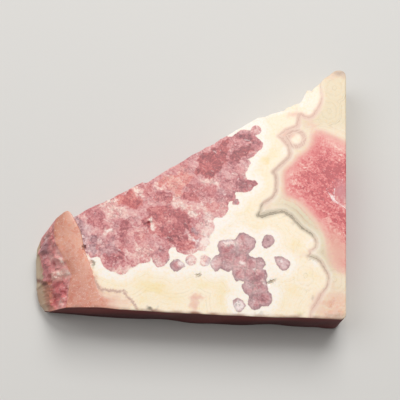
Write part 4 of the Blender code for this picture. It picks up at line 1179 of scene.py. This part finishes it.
# How the stone is mixed, in order: a name, its work, and the fields, noises, earlier names,
# colours or numbers that it takes. A range turns the stretch between its first two numbers
# into the stretch between its last two, 0 to 1 when they are left out; a mix covers its second
# value with its third by its first.
recipe = (
    # Borders waver by a noise, then take a soft step.
    ("outlineAt", "MULTIPLY_ADD", "wobble", 0.5, "crystal"),
    ("inCrystal", "smooth", "outlineAt", 0.15, 0.35),
    ("edge", "smooth", "outlineAt", 0.75, 0.35, 0, 0.6),
    ("seamAt", "MULTIPLY_ADD", "wobble", 0.5, "seam"),
    ("inSeam", "smooth", "seamAt", 0.6, 0.25, 0, 0.8),
    ("coreAt", "MULTIPLY_ADD", "wobble", 0.8, "core"),
    ("inCore", "smooth", "coreAt", -0.1, 1.2),
    ("veinAt", "MULTIPLY_ADD", "wobble", 0.5, "vein"),
    ("inVein", "smooth", "veinAt", -0.35, 0.7, 0, 0.95),
    ("wavyAt", "MULTIPLY_ADD", "sugar", 1.1, "wavy"),
    ("inWavy", "smooth", "wavyAt", 0.4, 0.95, 0, 0.85),
    ("crackAt", "MULTIPLY_ADD", "speck", 1.2, "crack"),
    ("inCrack", "range", "crackAt", 0.55, 0.75, 0, 0.8),
    # Crystals: three ramps by warmth, with grey outlines, seams, joints, glints and clefts.
    ("total", "MULTIPLY_ADD", "crystalStir", "calm", "tone"),
    ("shade", "range", "total", -1.5, 1.7),
    ("rose", "ramp", "shade", finish["rose"]),
    ("warmRose", "ramp", "shade", finish["warm"]),
    ("mauveRose", "ramp", "shade", finish["mauve"]),
    ("hue", "SUBTRACT", "tint", 0.5),
    ("hue", "MULTIPLY_ADD", "hue", 1.3, "warm"),
    ("warmer", "range", "hue", 0, 1),
    ("mauver", "range", "hue", 0, -1),
    ("crystals", "mix", "warmer", "rose", "warmRose"),
    ("crystals", "mix", "mauver", "crystals", "mauveRose"),
    ("edge", "MULTIPLY", "edge", "grey"),
    ("edge", "MAXIMUM", "edge", "inSeam"),
    ("edge", "MULTIPLY", "edge", "cloud"),
    ("joint", "range", "shardGap", 0.12, 0.03, 0, 0.6),
    ("clouded", "range", "cloud", 0.45, 0.65),
    ("joint", "MULTIPLY", "joint", "clouded"),
    ("edge", "MAXIMUM", "edge", "joint"),
    ("outline", "mix", "grey", finish["roseSeam"], finish["outline"]),
    ("crystals", "mix", "edge", "crystals", "outline"),
    ("glintLevel", "range", "glintAmount", 0, 1, 0.67, 0.48),
    ("glint", "SUBTRACT", "speck", "glintLevel"),
    ("glint", "range", "glint", 0, 0.06, 0, 0.75),
    ("cleft", "range", "grainGap", 0.07, 0.02, 0, 0.55),
    ("veined", "range", "tint", 0.55, 0.68, 0, 0.8),
    ("cleft", "MULTIPLY", "cleft", "veined"),
    ("glint", "MAXIMUM", "glint", "cleft"),
    ("crystals", "mix", "glint", "crystals", finish["sparkle"]),
    # Quiet stone: irregular growth lines over the mixed ground, and a slight mottle.
    ("lineAt", "MULTIPLY_ADD", "wobble", 0.35, "lines"),
    ("banding", "streaks", "lineAt", 2.4, 2),
    ("banding", "smooth", "banding", 0.48, 0.72),
    ("patchy", "range", "cloud", 0.4, 0.62, 0.3, 1),
    ("patchy", "MULTIPLY", "patchy", "lineDepth"),
    ("banding", "MULTIPLY", "banding", "patchy"),
    ("deeper", "MULTIPLY_ADD", "linePink", 2, 1),
    ("banding", "MULTIPLY", "banding", "deeper"),
    ("bandLine", "mix", "linePink", finish["bandLine"], finish["bandPink"]),
    ("colour", "mix", "banding", "quiet", "bandLine"),
    ("mottle", "ramp", "wobble", finish["mottle"]),
    ("colour", "stain", 1, "colour", "mottle"),
    # Salmon skin: flushes of deeper colour and pale flecks.
    ("flush", "ramp", "cloud", finish["flush"]),
    ("colour", "stain", "flushed", "colour", "flush"),
    ("fleck", "range", "speck", 0.56, 0.64, 0, 0.75),
    ("fleck", "MULTIPLY", "fleck", "flushed"),
    ("colour", "mix", "fleck", "colour", finish["fleck"]),
    # The red heart, kept off the nose and the skin.
    ("deep", "range", "core", 0, 3, 0.2, 1),
    ("red", "MULTIPLY_ADD", "heartStir", "deep", "redness"),
    ("heart", "ramp", "red", finish["core"]),
    ("heart", "mix", "coreSalmon", "heart", finish["coreSalmon"]),
    ("heart", "mix", "mauve", "heart", finish["coreMauve"]),
    ("heartGlint", "range", "speck", 0.6, 0.68, 0, 0.5),
    ("heartGlint", "MULTIPLY", "heartGlint", "deep"),
    ("heart", "mix", "heartGlint", "heart", finish["sparkle"]),
    ("offSkin", "SUBTRACT", 1, "skin"),
    ("onFace", "SUBTRACT", "offSkin", "nose"),
    ("inCore", "MULTIPLY", "inCore", "onFace"),
    ("colour", "mix", "inCore", "colour", "heart"),
    # The vein, with streaks along it, and the wavy line.
    ("streakAt", "MULTIPLY_ADD", "tint", 1.2, "across"),
    ("streak", "streaks", "streakAt", 3, 2),
    ("streak", "range", "streak", 0.42, 0.58, 0.1, 1),
    ("veinTone", "range", "veinAt", 0, 0.6),
    ("veinTone", "MULTIPLY", "veinTone", "streak"),
    ("greenVein", "ramp", "veinTone", finish["vein"]),
    ("pinkVein", "ramp", "veinTone", finish["pinkVein"]),
    ("eitherVein", "mix", "pink", "greenVein", "pinkVein"),
    ("inVein", "MULTIPLY", "inVein", "onFace"),
    ("colour", "mix", "inVein", "colour", "eitherVein"),
    ("colour", "mix", "inWavy", "colour", finish["wavy"]),
    # The crystals lie over all of these, and the white crack over them.
    ("inCrystal", "MULTIPLY", "inCrystal", "offSkin"),
    ("colour", "mix", "inCrystal", "colour", "crystals"),
    ("colour", "mix", "inCrack", "colour", finish["sparkle"]),
    # Satin polish on the quiet stone, duller skin, rougher sugar in the crystals.
    ("roughness", "range", "sugar", 0, 1, 0.38, 0.56),
    ("roughness", "MULTIPLY_ADD", "skin", 0.35, "roughness"),
    ("height", "MULTIPLY_ADD", "speck", 0.5, "sugar"),
    ("rougher", "MULTIPLY_ADD", "inCrystal", 0.7, 0.3),
    ("rougher", "MULTIPLY_ADD", "fresh", 0.8, "rougher"),
    ("height", "MULTIPLY", "height", "rougher"),
)


# The stone's material: reads the fields of the mesh, makes the noises in millimetres, adds up
# the stirs, which are sums of weighted noises centred on zero, and follows the recipe.
def stoneMaterial(names):
    material = bpy.data.materials.new("sawnRhodochrosite")
    material.use_nodes = True
    tree = material.node_tree
    tree.nodes.clear()
    value = {name: add(tree, "Attribute", out="Fac", attribute_name=name) for name in names}
    value["quiet"] = add(tree, "Attribute", out="Color", attribute_name="ground")
    inMetres = add(tree, "TexCoord", out="Object")
    inMm = add(tree, "VectorMath", {0: inMetres, "Scale": 1 / mm}, operation="SCALE")
    for name, settings in finish["noises"].items():
        sockets = zip(("Scale", "Detail", "Roughness", "Distortion"), settings)
        value[name] = add(tree, "TexNoise", {"Vector": inMm, **dict(sockets)})
    swirl = add(tree, "TexNoise", {"Vector": inMm, **finish["swirl"]}, out="Color")
    swirl = add(tree, "VectorMath", (swirl, finish["swirlReach"], inMm), operation="MULTIPLY_ADD")
    turned = {"Vector": swirl, "Rotation": finish["cleavage"], "Scale": finish["stretch"]}
    turned = add(tree, "Mapping", turned, vector_type="TEXTURE")
    for name in ("grain", "shard"):
        inputs = {"Vector": turned, "Scale": finish[name]}
        value[name] = add(tree, "SeparateColor", (add(tree, "TexVoronoi", inputs, out="Color"),))
        value[name + "Gap"] = add(tree, "TexVoronoi", inputs, feature="DISTANCE_TO_EDGE")
    for stir in ("crystalStir", "heartStir"):
        value[stir] = 0.0
        for name, weight in finish[stir].items():
            centred = add(tree, "Math", (value[name], 0.5), operation="SUBTRACT")
            value[stir] = add(tree, "Math", (centred, weight, value[stir]), operation="MULTIPLY_ADD")
    for name, work, *given in recipe:
        kind, sockets, out, settings = works.get(work) or ("Math", range(3), 0, {"operation": work})
        stops = given.pop() if work == "ramp" else ()
        inputs = {socket: value.get(item, item) for socket, item in zip(sockets, given)}
        value[name] = add(tree, kind, inputs, out, stops, **settings)
    bump = add(tree, "Bump", {"Strength": 0.6, "Distance": finish["relief"], "Height": value["height"]})
    shader = add(tree, "BsdfPrincipled", {
        "Base Color": value["colour"], "Roughness": value["roughness"], "IOR": finish["ior"], "Normal": bump,
        "Subsurface Weight": finish["glow"], "Subsurface Radius": finish["glowReach"],
        "Subsurface Scale": 1.0,
    })
    add(tree, "OutputMaterial", (shader,))
    return material


points, quads, strip, info = slabSurface()
sinkPits(points)
rng = np.random.default_rng(slab["seed"] + 1)
at = drawingPlaces(points, info, rng)
fields = {**crystalFields(at), **veinFields(at)}
quiet = quietColour(at, rng)
fields.update(lineFields(at))
stone = meshPiece("rhodochrositeSlab", points, quads, strip)
giveAttribute(stone.data, "ground", quiet)
for name, values in fields.items():
    giveAttribute(stone.data, name, values)
stone.data.shade_smooth()
stone.data.set_sharp_from_angle(angle=np.radians(38))
stone.data.materials.append(stoneMaterial(fields))
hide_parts("rhodochrosite_slice")
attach(stone, "root")
print("slab built:", len(points), "points,", 2 * len(quads) + len(strip), "triangles")

# The table it lies on, the lights and the camera, in metres.
studio = {
    "floor": "#D9D7D3",
    "floorSize": 3.0,
    "target": (0.00209, -0.00435, 0.0105),
    "azimuth": 3.2,
    "elevation": 70.0,
    "distance": 0.2045,
    "lens": 80.0,
    "sky": 0.22,
    # Name, place, width, power in watts.
    "lights": (
        ("keyLight", (0.15, 0.55, 0.74), 0.60, 6.7),
        ("sideLight", (-0.50, 0.12, 0.76), 0.60, 2.5),
    ),
}


# A matte table, square lamps that face the target, and a dim warm sky.
def floorAndLights():
    half = studio["floorSize"] / 2
    mesh = bpy.data.meshes.new("tableTop")
    corners = [(-half, -half, 0), (half, -half, 0), (half, half, 0), (-half, half, 0)]
    mesh.from_pydata(corners, [], [(0, 1, 2, 3)])
    table = bpy.data.objects.new("tableTop", mesh)
    bpy.context.scene.collection.objects.link(table)
    paint = bpy.data.materials.new("matteLaminate")
    paint.use_nodes = True
    tree = paint.node_tree
    tree.nodes.clear()
    shader = add(tree, "BsdfPrincipled", {"Base Color": studio["floor"], "Roughness": 0.7})
    add(tree, "OutputMaterial", (shader,))
    mesh.materials.append(paint)
    target = np.array(studio["target"])
    for name, place, width, power in studio["lights"]:
        light = bpy.data.lights.new(name, "AREA")
        light.shape, light.size, light.energy = "SQUARE", width, power
        lamp = bpy.data.objects.new(name, light)
        lamp.location = place
        away = np.array(place) - target
        level = np.hypot(away[0], away[1])
        lamp.rotation_euler = (np.arctan2(level, away[2]), 0, np.arctan2(away[0], -away[1]))
        bpy.context.scene.collection.objects.link(lamp)
    world = bpy.data.worlds.new("softRoom")
    world.use_nodes = True
    back = world.node_tree.nodes["Background"]
    back.inputs["Color"].default_value = (1, 0.985, 0.97, 1)
    back.inputs["Strength"].default_value = studio["sky"]
    bpy.context.scene.world = world


# The camera stands back from the target at the azimuth and elevation, and looks at it.
def placeCamera():
    lens = bpy.data.cameras.new("camera")
    lens.lens, lens.sensor_width, lens.clip_start = studio["lens"], 36.0, 0.01
    camera = bpy.data.objects.new("camera", lens)
    turn, rise = np.radians(studio["azimuth"]), np.radians(studio["elevation"])
    back = np.array([np.sin(turn) * np.cos(rise), -np.cos(turn) * np.cos(rise), np.sin(rise)])
    camera.location = np.array(studio["target"]) + back * studio["distance"]
    camera.rotation_euler = (np.pi / 2 - rise, 0, turn)
    bpy.context.scene.collection.objects.link(camera)
    bpy.context.scene.camera = camera


floorAndLights()
placeCamera()
bpy.context.scene.view_settings.view_transform = "Standard"
print("studio set")
